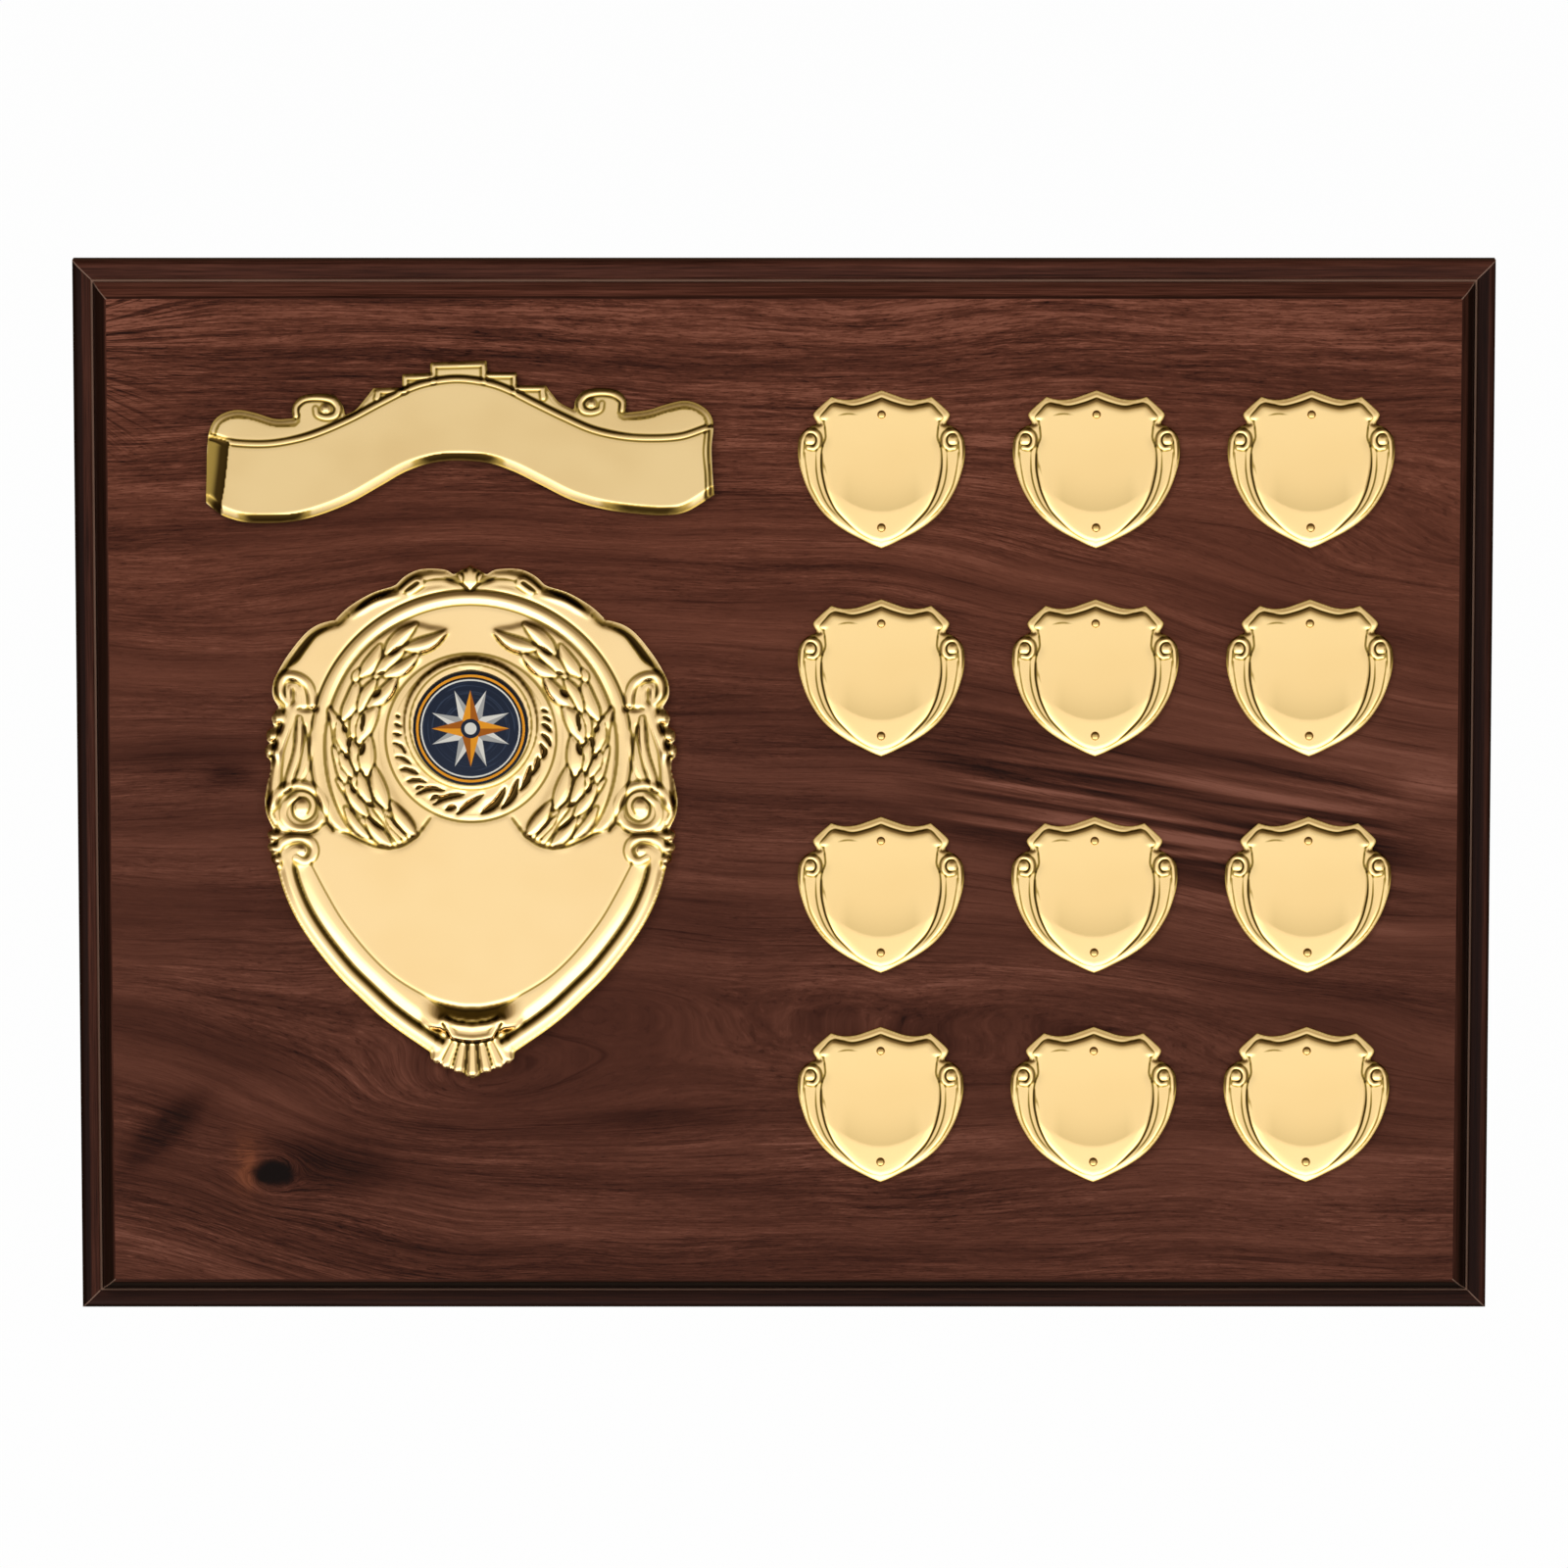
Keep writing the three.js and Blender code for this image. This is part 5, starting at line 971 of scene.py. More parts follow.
HIP_MARKS = [
    ("rib", [(-101.7, 15.0), (-101.3, 11.4), (-102.2, 7.0), (-104.0, 3.0), (-105.6, 1.2)],
     0.42, 1.9, (0.3, 1, 1, 1, 0.6), 1.0),
    ("crease", [(-102.9, 14.4), (-103.0, 11.6), (-103.5, 8.6), (-104.5, 5.0), (-105.8, 1.5)],
     0.9, 0.45, (0.4, 1, 1, 1, 0.4)),
    ("crease", [(-104.9, 17.6), (-105.9, 13.6), (-107.4, 9.0), (-108.0, 4.6), (-107.9, 1.4)],
     0.45, 0.4, (0.4, 1, 1, 1, 0.4)),
    ("crease", [(-107.2, 18.0), (-108.1, 14.6), (-109.4, 10.6), (-110.1, 6.4)],
     0.7, 0.4, (0.4, 1, 1, 1, 0.4)),
    ("rib", [
        (-109.3, -6.6), (-110.3, -4.2), (-109.3, -1.1), (-106.9, 1.2), (-103.6, 1.7), (-100.8, 0.7),
        (-99.1, -1.9), (-99.0, -4.9), (-100.4, -7.0), (-103, -8.0), (-105.8, -7.4), (-107.5, -5.2),
        (-107.0, -2.4), (-104.9, -0.9)], 0.5, 2.2, (0.6, 1, 1, 1, 1, 0.9, 0.8, 0.7), 1.3),
    ("crease", INNER_CURL, 0.2, 0.4, (0.4, 1, 1, 1, 1, 1, 0.5)),
    ("stain", INNER_CURL, 2.2, 0.28, (0.2, 0.8, 1, 1, 1, 1, 0.8)),
    ("rib", [
        (-108.6, -16.3), (-109.2, -13.6), (-108.3, -11.2), (-106, -9.9), (-103.6, -9.7),
        (-101.6, -10.7), (-100.9, -12.6), (-101.6, -14.3), (-103.3, -15), (-104.9, -14.2)],
     0.45, 2.0, (0.7, 1, 1, 1, 0.9, 0.7), 1.5),
    ("crease", [
        (-107.2, -12.6), (-105.6, -11.4), (-103.6, -11.2), (-102.4, -12.2), (-102.6, -13.5)],
     0.45, 0.4, (0.4, 1, 1, 0.6)),
    ("crease", [(-110.5, -7.6), (-107, -8.6), (-103, -9.0), (-100.2, -8.2)], 0.5, 0.45, (0.4, 1, 1, 0.4))]
# Round beads: place, radius and rise.
HIP_BEADS = [
    (-103.6, -3.0, 1.9, 0.62), (-103.6, -12.4, 1.2, 0.5), (-108.5, 16.3, 1.7, 0.8),
    (-109.6, 12.3, 1.8, 0.8), (-110.0, 9.0, 1.7, 0.8), (-109.9, -9.5, 1.3, 0.8),
    (-109.9, -12.1, 1.3, 0.8), (-109.1, -14.7, 1.2, 0.8)]

# The laurel: the edge of the bed it lies on, then each leaf's root, tip and width, from the bottom
# up, and the deep slits between leaves.
WREATH_EDGE = [
    (-78.2, -8.4), (-82, -3.2), (-84.6, 1.4), (-86.3, 6.4), (-86.9, 12), (-86.2, 17.4), (-82.6, 24.2),
    (-78, 29.2), (-78.6, 31), (-72.1, 34.9), (-76, 36.0), (-78.2, 36.6), (-81.2, 36.6), (-86, 34.4),
    (-90.4, 30.6), (-93.6, 26.0), (-95.9, 20.6), (-98.1, 15.4), (-98.2, 8.6), (-97.4, 1.6),
    (-95.6, -4.4), (-91.6, -9.4), (-87.4, -12.2), (-82.4, -11.6), (-78.2, -8.4)]
# The bed and the leaves' outlines are darkened with painted shade, the slits with painted shade and dark
# patina.
WREATH_RISE, WREATH_SHADE, SLIT_DEPTH, SLIT_PATINA_AND_SHADE = 0.62, 0.7, 1.2, 3
LEAF_LEVEL, LEAF_RISE, LEAF_GROOVE, LEAF_OUTLINE = 3.35, 0.6, 0.12, 1.7
LEAF_FULLNESS, LEAF_BOWS = 1.12, (-0.04, 0.08)
LEAVES = [
    (-89.4, -9.5, -94.2, -3.1, 2.4), (-86.7, -10.9, -92.5, -3.8, 2.4), (-84.7, -11.4, -90, -5, 2.5),
    (-82.6, -10.8, -89.1, -1.7, 2.2), (-81.4, -9.9, -86.4, -2, 2.0), (-80.4, -9.6, -85, -3.8, 1.8),
    (-79.4, -9, -84.3, -1.9, 2.7), (-90.8, -5.1, -95.9, 2.9, 2.3), (-89.6, -4.8, -94.3, 2.5, 2.4),
    (-91.1, -0.4, -93, 4.6, 2.0), (-89, -1.9, -91.2, 4.6, 2.5), (-87.3, -1.4, -89, 3.9, 2.0),
    (-85.4, -3.1, -88.1, 5.9, 3.0), (-94.3, 2.5, -96.7, 9.9, 2.6), (-92.7, 3.7, -95.3, 9.3, 2.2),
    (-91.6, 5.2, -93, 11.4, 2.6), (-89.6, 4.4, -89, 12.6, 3.4), (-95.5, 9.3, -97.4, 18.2, 2.4),
    (-94, 9, -95.6, 16.2, 2.3), (-92.4, 12.4, -92.2, 19.4, 2.4), (-91.1, 11.4, -87, 20, 3.6),
    (-94.5, 16.2, -91.6, 24.6, 3.0), (-91.1, 17.8, -87.4, 24.9, 2.5), (-89.1, 18.9, -83, 25.5, 2.8),
    (-91.9, 24.2, -91.2, 26.9, 1.7), (-90.6, 25.6, -86.6, 32.1, 3.0), (-87.5, 25.3, -80.6, 32.2, 2.7),
    (-85.4, 25.6, -78.5, 30.1, 2.6), (-85.2, 30.4, -78.8, 36.6, 2.9), (-81, 31.4, -72.5, 34.9, 2.9)]
LEAF_SLITS = [
    (-89.6, -5.3, -85.6, -8.1, 0.7), (-85.5, -4.6, -81.4, -8.9, 0.6), (-84.6, 30.2, -81.8, 31.9, 0.9),
    (-94.2, 8.5, -93.6, 7.6, 0.8), (-93.2, 1.4, -91.9, 0.2, 0.8), (-93.4, 10.1, -93.0, 12.2, 0.8),
    (-89.5, -2.0, -87.6, -3.0, 0.9), (-90.6, 13.4, -90.1, 17.6, 1.0), (-90.8, 8.4, -89.9, 11.0, 1.1),
    (-87.9, 21.0, -86.4, 22.4, 1.0), (-87.2, 25.8, -85.6, 26.4, 0.8), (-94.6, 14.6, -93.9, 13.4, 0.9)]
SHEAF_MARKS = [
    ("crease", MAIN_SHEAF_EDGE[2:], 0.4, 0.6, (0.3, 0.7, 1, 1, 1, 1, 0.5)),
    ("stain", MAIN_SHEAF_EDGE[2:], 1.9, 0.32, (0.6, 0.8, 1, 1, 1, 1, 0.8))]

# The boss and the seat in it for the centre disc, each with its section in from its radius and its dark
# rings of painted shade, of (radius, darkness). Curved cuts, of (line, width), run half round the boss,
# darkened with painted shade and dark patina.
BOSS_MIDDLE, BOSS_RADIUS, BOSS_COLLAR = (-67.2, 12.0), 18.3, 0.6
BOSS_SHADES = [(18.3, 2.2), (16.8, 1.2)]
SEAT_MIDDLE, SEAT_RADIUS, SEAT_SHADES = (-67.2, 14.95), 14.3, [(14.15, 2.4), (13.1, 2.8)]
BOSS_SECTION = [
    (-1, 2.88), (-0.5, 2.88), (-0.1, 2.8), (0.3, 2.88), (0.8, 3.0), (1.3, 3.07), (1.7, 3.08),
    (2.1, 3.12), (2.8, 3.22), (3.6, 3.34), (4.6, 3.48), (6, 3.6), (20, 3.7)]
SEAT_SECTION = [
    (-1, 3.7), (-0.1, 3.7), (0.15, 3.64), (0.5, 3.86), (0.8, 3.9), (1.05, 3.86), (1.25, 3.78),
    (1.45, 3.98), (1.7, 4.02), (1.85, 3.8), (20, 3.7)]
BOSS_CUTS = [
    ([(-83.4, 16.9), (-82.1, 16.3)], 0.5),
    ([(-83.7, 15.2), (-82.1, 14.4)], 0.55),
    ([(-83.8, 13.0), (-82.1, 12.5)], 0.55),
    ([(-83.8, 10.8), (-82.3, 10.3), (-81.1, 8.4)], 0.6),
    ([(-83.5, 7.7), (-82.0, 7.7), (-79.8, 6.1)], 0.7),
    ([(-82.5, 5.2), (-80.6, 5.1), (-78.2, 4.0)], 0.8),
    ([(-81.3, 2.5), (-78.9, 2.8), (-76.4, 2.2)], 0.8),
    ([(-79.1, 0.8), (-78.2, 1.3), (-77.2, 1.3)], 1.0),
    ([(-78.9, -0.2), (-75.9, 1.0), (-72.8, 0.5)], 1.0),
    ([(-75.9, -1.4), (-74.9, -0.9), (-73.8, -1.0)], 1.1),
    ([(-75.2, -2.5), (-72.6, -1.0), (-68.6, -0.2)], 1.3),
    ([(-72.7, -3.7), (-71.5, -3.2), (-70.3, -3.2)], 1.1),
    ([(-70.2, -4.6), (-67.8, -2.6), (-64.6, -0.4)], 1.5),
    ([(-64.9, -4.4), (-61.7, -2.2), (-59.9, 1.1)], 1.9),
    ([(-60.6, -3.3), (-58.2, -0.6), (-57.1, 3.1)], 1.8),
    ([(-56.6, 0.6), (-55.0, 3.0), (-54.3, 6.0)], 1.6),
    ([(-54.0, 4.0), (-52.9, 6.2), (-52.7, 8.0)], 1.4),
    ([(-52.1, 7.2), (-51.3, 9.0), (-52.2, 10.7)], 1.2),
    ([(-50.1, 10.2), (-50.8, 11.8), (-52.0, 12.9)], 1.0),
    ([(-49.9, 13.2), (-50.8, 14.4), (-52.0, 15.2)], 0.9),
    ([(-50.0, 15.5), (-51.0, 16.3), (-52.0, 16.7)], 0.8),
    ([(-50.6, 17.4), (-51.4, 17.9), (-52.2, 18.1)], 0.7)]
CUT_DEPTH, CUT_PATINA_AND_SHADE = 0.8, 3

# The shell and its cuff, as outlines on the right half of the die, and the tips of the flutes.
SHELL_OUTLINE = [
    (0, -44.6), (4.2, -44.4), (5.4, -46.8), (7.8, -50.0), (9.4, -51.6), (8.6, -53.0), (4, -57), (0, -58)]
CUFF_OUTLINE = [
    (0, -43.6), (3.4, -43.2), (5.6, -42.4), (6.0, -43.2), (5.0, -45.2), (4.4, -46.4), (2.2, -46.9),
    (0, -47.1)]
SHELL_TIPS, SHELL_ROOT = [(-74.8, -57.9), (-72.8, -59.2), (-70.2, -60.2), (-67.2, -61.1)], -45.4
SHELL_LEVEL, SHELL_SLOPE, SHELL_SHADE, FLUTE_SPREAD = 1.5, 0.9, 3, 0.52
SHELL_CORNER, SHELL_CORNER_SHADE, CORNER_WIDTH = [(7.2, -45.8), (8.6, -48.6)], 1.2, 0.5
SCOOP_LEVEL, SCOOP_RISE, SCOOP_WIDTH, SCOOP_SHADE = 2.0, 2.1, 3.8, 1.9
CUFF_LEVEL, CUFF_RISE, CUFF_DISH, CUFF_MARGIN, CUFF_OUTLINE_SHADE = 3.0, 1.1, 0.45, 0.5, 1.9
SHELL_BEAD, SHELL_BEAD_RADIUS, SHELL_BEAD_RISE = (-73.2, -49.5), 1.0, 0.7
OUTLINE_WIDTH = 0.24
LOWEST, HIGHEST = 0.6, 5.2


def on_die(places):
    """Places measured on the plaque's left half, as places on the half of the die that is worked."""
    return [(MAIN_MIDDLE[0] - x, z - MAIN_MIDDLE[1]) for x, z in places]


def traced(places):
    return curve(on_die(places))


def from_middle(die, middle):
    """How far each place is from a middle that is measured on the plaque."""
    u, w = on_die([middle])[0]
    return np.hypot(die.uu - u, die.ww - w)


def laid(die, far, height, outline, groove=0, outline_width=OUTLINE_WIDTH):
    """Lays a part of the relief over the rest, in a slight groove and with an outline of painted shade."""
    ground = die.height - groove * bell(np.clip(far, 0, 9), 0.4)
    die.height = np.where(far < 0, height, ground)
    die.shade = np.where(far < 0, 0, die.shade) + outline * bell(far, outline_width)


def blade_of(die, root, tip, width, bow=0.0):
    """How far each place is outside a leaf's outline, and the leaf's height, keel and all."""
    root, tip = np.array(on_die([root, tip]))
    span = tip - root
    bowed = (root + tip) / 2 + bow * np.array((-span[1], span[0]))
    away, share, _, _ = die.near(curve([root, bowed, tip], 0.5), width + 1)
    half = width / 2 * np.sin(pi * np.clip(share, 0.03, 0.97) ** 0.8) ** 0.62 + 1e-6
    t = np.clip(away / half, 0, 1)
    return away - half, (0.30 + 0.26 * width) * (0.55 + 0.45 * np.sin(pi * share)) * (1 - t ** 1.5)


main_outline = mirrored(joined(*[traced(places) for places in MAIN_EDGES]))
die = Stamping(MAIN_HALF_WIDTH, MAIN_LOW, MAIN_HIGH, MAIN_STEP)
edge = die.depth_inside(main_outline, EDGE_REACH)
from_arch = from_middle(die, ARCH_MIDDLE)
lower = 1 / (1 + np.exp((die.ww - VEE_TOP) / 0.5))
die.height = section(edge, BROW_SECTION) * (1 - lower) + section(edge, VEE_SECTION) * lower
die.shade += section(edge, BROW_SHADE) * (1 - lower) + section(edge, VEE_SHADE) * lower

# The field below and the ground of the arch above it.
field_line = mirrored(joined(MAIN_FIELD_TOP, traced(MAIN_SHEAF_EDGE[::-1]), traced(MAIN_FIELD_EDGE)))
field_mask = die.inside(field_line)
field_depth = die.depth_inside(field_line, 5)
die.height = np.where(field_mask, MAIN_FIELD_LEVEL, die.height)
grooved = die.ww < FIELD_GROOVE_TOP
die.height -= FIELD_GROOVE * bell(field_depth, FIELD_GROOVE_WIDTH) * grooved
die.shade = np.where(field_mask, 0, die.shade)
die.shade += FIELD_SHADE * bell(field_depth, FIELD_SHADE_WIDTH) * grooved
inside_arch = (from_arch < ARCH_INNER) & (die.ww > GROUND_FOOT) & ~field_mask
die.height = np.where(inside_arch, GROUND_LEVEL, die.height)
die.shade = np.where(from_arch < ARCH_OUTER, 0, die.shade)
above_foot = die.ww > ARCH_FOOT
for radius, amount in ARCH_SHADES:
    die.shade += amount * bell(from_arch - radius, OUTLINE_WIDTH) * above_foot
arch_share = np.clip(1 - abs(from_arch - ARCH_RIDGE) / ARCH_HALF_WIDTH, 0, 1) * above_foot
die.height += ARCH_RISE * np.sin(arch_share * pi / 2) ** 2
for radius, depth, width in ARCH_CREASES:
    die.height -= depth * bell(from_arch - radius, width) * above_foot

# The brow: a wedge cut in each shoulder and darkened with painted dark reflection, the lobes with painted
# shade inside the capsule, and the finial's three blades with outlines of painted shade.
away, share, side, _ = die.near(traced(SHOULDER_WEDGE), 4)
wedge = np.where((away < 4) & (side < 0), np.sin(pi * np.clip(share, 0.02, 0.98)) ** 0.5, 0)
die.height -= WEDGE_DEPTH * wedge * part_way(away, 0, 1.6) * part_way(edge, 0.5, 0.9)
die.shade += WEDGE_SHADE * wedge * part_way(away, 0, 0.35) * part_way(edge, 0.9, 0.35)
die.press(CREST_MARKS, traced)
die.shade += CAPSULE_SHADE * die.inside(np.array(on_die(CAPSULE)))
for tip, width in FINIAL_BLADES:
    far, blade = blade_of(die, FINIAL_ROOT, tip, width)
    laid(die, far, np.maximum(die.height, FINIAL_LEVEL + FINIAL_RISE * blade), FINIAL_OUTLINE)

# The sides: a curl on the shoulder, a ribbon that hangs from it with an outline of painted shade, and two
# volutes with their beads.
die.press(SHOULDER_MARKS, traced)
far, blade = blade_of(die, RIBBON_ROOT, RIBBON_TIP, RIBBON_WIDTH, RIBBON_BOW)
laid(die, far, die.height + RIBBON_RISE * blade, RIBBON_OUTLINE, RIBBON_GROOVE, 0.26)
die.press(HIP_MARKS, traced)
for bead_x, bead_z, radius, rise in HIP_BEADS:
    die.dome(on_die([(bead_x, bead_z)])[0], radius, rise)

# The laurel: a low bed darkened with painted shade, the leaves on it, each over the one before with an
# outline of painted shade, and the slits, darkened with painted shade and dark patina.
bed = die.depth_inside(curve(on_die(WREATH_EDGE)), 4)
die.shade += WREATH_SHADE * (bed > 0)
bed_rise = WREATH_RISE * np.sin(part_way(bed, -0.9, 1.9) * pi / 2) ** 2
die.height += bed_rise * (from_arch < ARCH_INNER + 0.6)
for number, (root_x, root_z, tip_x, tip_z, width) in enumerate(LEAVES):
    root, tip, bow = (root_x, root_z), (tip_x, tip_z), LEAF_BOWS[number % 2]
    far, blade = blade_of(die, root, tip, width * LEAF_FULLNESS, bow)
    laid(die, far, LEAF_LEVEL + LEAF_RISE * blade, LEAF_OUTLINE, LEAF_GROOVE)
for root_x, root_z, tip_x, tip_z, width in LEAF_SLITS:
    far, blade = blade_of(die, (root_x, root_z), (tip_x, tip_z), width)
    die.height -= np.where(far < 0, SLIT_DEPTH * blade, 0)
    die.shade += np.where(far < 0, SLIT_PATINA_AND_SHADE, 0)
die.press(SHEAF_MARKS, traced)

# The boss and the disc's seat.
from_boss, from_seat = from_middle(die, BOSS_MIDDLE), from_middle(die, SEAT_MIDDLE)
boss_height = section(BOSS_RADIUS - from_boss, BOSS_SECTION)
die.height = np.where(from_boss < BOSS_RADIUS + BOSS_COLLAR, boss_height, die.height)
seat_height = section(SEAT_RADIUS - from_seat, SEAT_SECTION)
die.height = np.where(from_seat < SEAT_RADIUS, seat_height, die.height)
die.shade = np.where(from_boss < BOSS_RADIUS, 0, die.shade)
for radius, amount in BOSS_SHADES:
    die.shade += amount * bell(from_boss - radius, OUTLINE_WIDTH)
for radius, amount in SEAT_SHADES:
    die.shade += amount * bell(from_seat - radius, 0.22)

# The foot: a scoop below the field, darkened with painted dark reflection, the shell with its flutes and
# painted shade between them and at its corners, and the cuff that holds it, with an outline of painted
# shade.
below_field = np.clip(-field_depth, 0, 5) * (die.ww < -30)
scooped = part_way(below_field, 0, 0.5) * part_way(die.ww, -45.4, 1.6) * part_way(11.2 - die.uu, 0, 4)
scoop = SCOOP_LEVEL + SCOOP_RISE * part_way(below_field, 0, SCOOP_WIDTH) ** 1.05
die.height = die.height * (1 - scooped) + scoop * scooped
die.shade += SCOOP_SHADE * scooped * part_way(9.5 - die.uu, 0, 4)
flutes = np.zeros_like(die.height)
for tip in on_die(SHELL_TIPS):
    root = (tip[0] * FLUTE_SPREAD, SHELL_ROOT)
    away, share, _, _ = die.near([root, tip], 2)
    half = 0.6 + 0.85 * share
    flute = (1 - np.clip(away / half, 0, 1) ** 2) * (0.55 + 0.4 * share)
    flutes = np.maximum(flutes, np.where(away < half, flute, 0))
shell = SHELL_LEVEL + SHELL_SLOPE * part_way(die.ww, -56, 11) + flutes
in_shell = part_way(die.depth_inside(mirrored(SHELL_OUTLINE), 2), -0.25, 0.5)
die.height = die.height * (1 - in_shell) + shell * in_shell
die.shade = die.shade * (1 - in_shell) + SHELL_SHADE * (flutes < 0.1) * (in_shell > 0.9)
in_cuff = die.depth_inside(mirrored(CUFF_OUTLINE), 3)
cuff = CUFF_LEVEL + CUFF_RISE * np.sin(part_way(in_cuff, -CUFF_MARGIN, 1.0) * pi / 2)
cuff -= CUFF_DISH * part_way(in_cuff, 0.6, 0.6)
die.height = np.where(in_cuff > -CUFF_MARGIN, cuff, die.height)
die.shade = np.where(in_cuff > -CUFF_MARGIN, 0, die.shade)
die.shade += CUFF_OUTLINE_SHADE * bell(in_cuff + 0.3, OUTLINE_WIDTH)
die.stain(SHELL_CORNER, SHELL_CORNER_SHADE, CORNER_WIDTH)
die.dome(on_die([SHELL_BEAD])[0], SHELL_BEAD_RADIUS, SHELL_BEAD_RISE)

die = die.unfolded()
for line, width in BOSS_CUTS:
    places = curve([(x - MAIN_MIDDLE[0], z - MAIN_MIDDLE[1]) for x, z in line])
    away, share, _, _ = die.near(places, width)
    half = width / 2 * np.sin(pi * np.clip(share, 0.04, 0.96)) ** 0.6
    die.height -= CUT_DEPTH * np.sqrt(1 - np.clip(away / half, 0, 1) ** 2)
    die.shade += np.where(away < half * 0.8, CUT_PATINA_AND_SHADE, 0)
die.height = np.clip(die.height, LOWEST, HIGHEST)
die.soften(2)

gilt = gilt_finish("gilt_main_shield", GILT, GILT_WORN)
main_place = middle_of("main_shield")[:2]
main_shield = die.piece("main_shield_stamping", main_outline, gilt, main_place, face_depth)
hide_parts("main_shield")
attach(main_shield, "root")


# The centre disc: a thin aluminium blank with a printed face under clear lacquer. It is glued in
# the seat of the boss. The print is a plain compass star with a ring border.
DISC_BEVEL, DISC_SEGMENTS = [(0.25, 0), (0.07, 0.06), (0, 0.25)], 96
DISC_BLACK, DISC_NAVY = (0.004, 0.005, 0.009, 1), (0.010, 0.017, 0.038, 1)
DISC_NAVY_LIGHT = (0.030, 0.046, 0.085, 1)
DISC_AMBER, DISC_RUST = (0.90, 0.36, 0.02, 1), (0.42, 0.12, 0.008, 1)
DISC_PALE, DISC_GREY = (0.80, 0.80, 0.76, 1), (0.42, 0.43, 0.43, 1)
# Rings: outer radius, inner radius and colour. Stars: points, tip, notch, turn and two colours.
DISC_RINGS = [(11.7, 11.15, DISC_AMBER), (10.7, 10.35, DISC_PALE)]
DISC_STARS = [(8, 8.9, 3.6, pi / 8, DISC_GREY, DISC_PALE), (4, 8.3, 2.5, 0.0, DISC_RUST, DISC_AMBER)]
HUB_RADIUS, HUB_DOT_RADIUS, BORDER_RADIUS, PRINT_BLUR = 2.1, 1.3, 10.35, 0.05
GLUE, GLUE_PALE = (0.72, 0.66, 0.50, 1), (0.82, 0.78, 0.66, 1)


def star(x, z, far, points, tip, notch, spin):
    """1 inside a star with straight sides, and which half of its point a place is on."""
    sector = 2 * pi / points
    heading = x.math("ARCTAN2", z, x) + spin
    folded = x.math("PINGPONG", heading + 2 * pi, sector / 2)
    along, off = far * x.math("COSINE", folded), far * x.math("SINE", folded)
    end = (notch * cos(sector / 2), notch * sin(sector / 2))
    reach = hypot(end[0] - tip, end[1])
    out = ((along - tip) * end[1] - off * (end[0] - tip)) / reach
    return x.finish.between(out, PRINT_BLUR, -PRINT_BLUR), x.math("SINE", heading * points) > 0


ink = Finish(bpy.data.materials.new("disc_print"))
x, y, z = ink.place()
far = x.math("SQRT", x * x + z * z)
arcs = ink.noise(ink.vector(far / 0.45, (x * 0.6 + z) / 9, 0.4), 3.0)
skin = ink.mix(ink.between(arcs, 0.54, 0.66), DISC_NAVY, DISC_NAVY_LIGHT)
for points, tip, notch, spin, dark, light in DISC_STARS:
    inside, lit_half = star(x, z, far, points, tip, notch, spin)
    skin = ink.mix(inside, skin, ink.mix(lit_half, dark, light))
for radius, colour in (HUB_RADIUS, DISC_NAVY), (HUB_DOT_RADIUS, DISC_PALE):
    skin = ink.mix(ink.between(far, radius + PRINT_BLUR, radius - PRINT_BLUR), skin, colour)
skin = ink.mix(ink.between(far, BORDER_RADIUS - 0.02, BORDER_RADIUS + 0.02), skin, DISC_BLACK)
for outer, inner, colour in DISC_RINGS:
    ring = ink.between(far, inner - 0.03, inner + 0.03) * ink.between(far, outer + 0.03, outer - 0.03)
    skin = ink.mix(ring, skin, colour)
ink.surface(ink.node("BsdfPrincipled", values={
    "Base Color": skin, "Roughness": 0.34 + arcs * 0.12, "Specular IOR Level": 0.16}))

glue = Finish(bpy.data.materials.new("disc_glue"))
x, y, z = glue.place()
smear = glue.noise(glue.vector(x / 3, y, z / 3), 2.0)
skin = glue.mix(glue.between(smear, 0.4, 0.6), GLUE, GLUE_PALE)
glue.surface(glue.node("BsdfPrincipled", values={"Base Color": skin, "Roughness": 0.35 + smear * 0.2}))
coated(["disc_adhesive"], glue.owner)

low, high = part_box("centre_disc")
radius, thickness = (high.x - low.x) / 2 / MM, (high.y - low.y) / MM
bevel = [(radius - inset, -drop) for inset, drop in DISC_BEVEL]
disc_profile = [(0, 0)] + bevel + [(radius, -thickness), (0, -thickness)]
disc = turned("centre_disc_print", disc_profile, ink.owner, DISC_SEGMENTS)
disc.data.set_sharp_from_angle(angle=radians(34))
disc.location = ((low.x + high.x) / 2, low.y, (low.z + high.z) / 2)
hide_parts("centre_disc")
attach(disc, "root")


# The title scroll: a stamped brass ribbon with rolled ends, a stepped crest and two volutes. Foam
# pads hold it a little off the board. Its lines are measured from the middle of the board.
SCROLL_MIDDLE = (-69.25, 75.0)
SCROLL_STEP, SCROLL_LEFT, SCROLL_RIGHT, SCROLL_LOW, SCROLL_HIGH = 0.25, -55.4, 55.2, -17.2, 19.4
SCROLL_LEFT_TOP = [
    (-123.7, 62.9), (-123.5, 69), (-123.3, 75.3), (-122.5, 79.6), (-120.5, 82), (-117, 83.1),
    (-113.1, 82.5), (-108.8, 81.2), (-104.9, 81.3)]
SCROLL_LEFT_VOLUTE = [
    (-104.9, 81.3), (-105.2, 83), (-104.7, 84.4), (-103, 86.1), (-99.8, 86.6), (-96.3, 86.3),
    (-94.4, 84.3), (-93.8, 82)]
SCROLL_LEFT_RAKE = [(-93.8, 82), (-91.6, 83.1), (-89.5, 85.5), (-87.7, 87.8)]
SCROLL_STEPS = [
    (-87.7, 87.8), (-81.5, 88), (-81.5, 90.8), (-75.5, 91.1), (-75.5, 93.3), (-63.5, 93.7),
    (-63.3, 91.3), (-57.1, 91.2), (-56.9, 88.4), (-50.9, 88.4)]
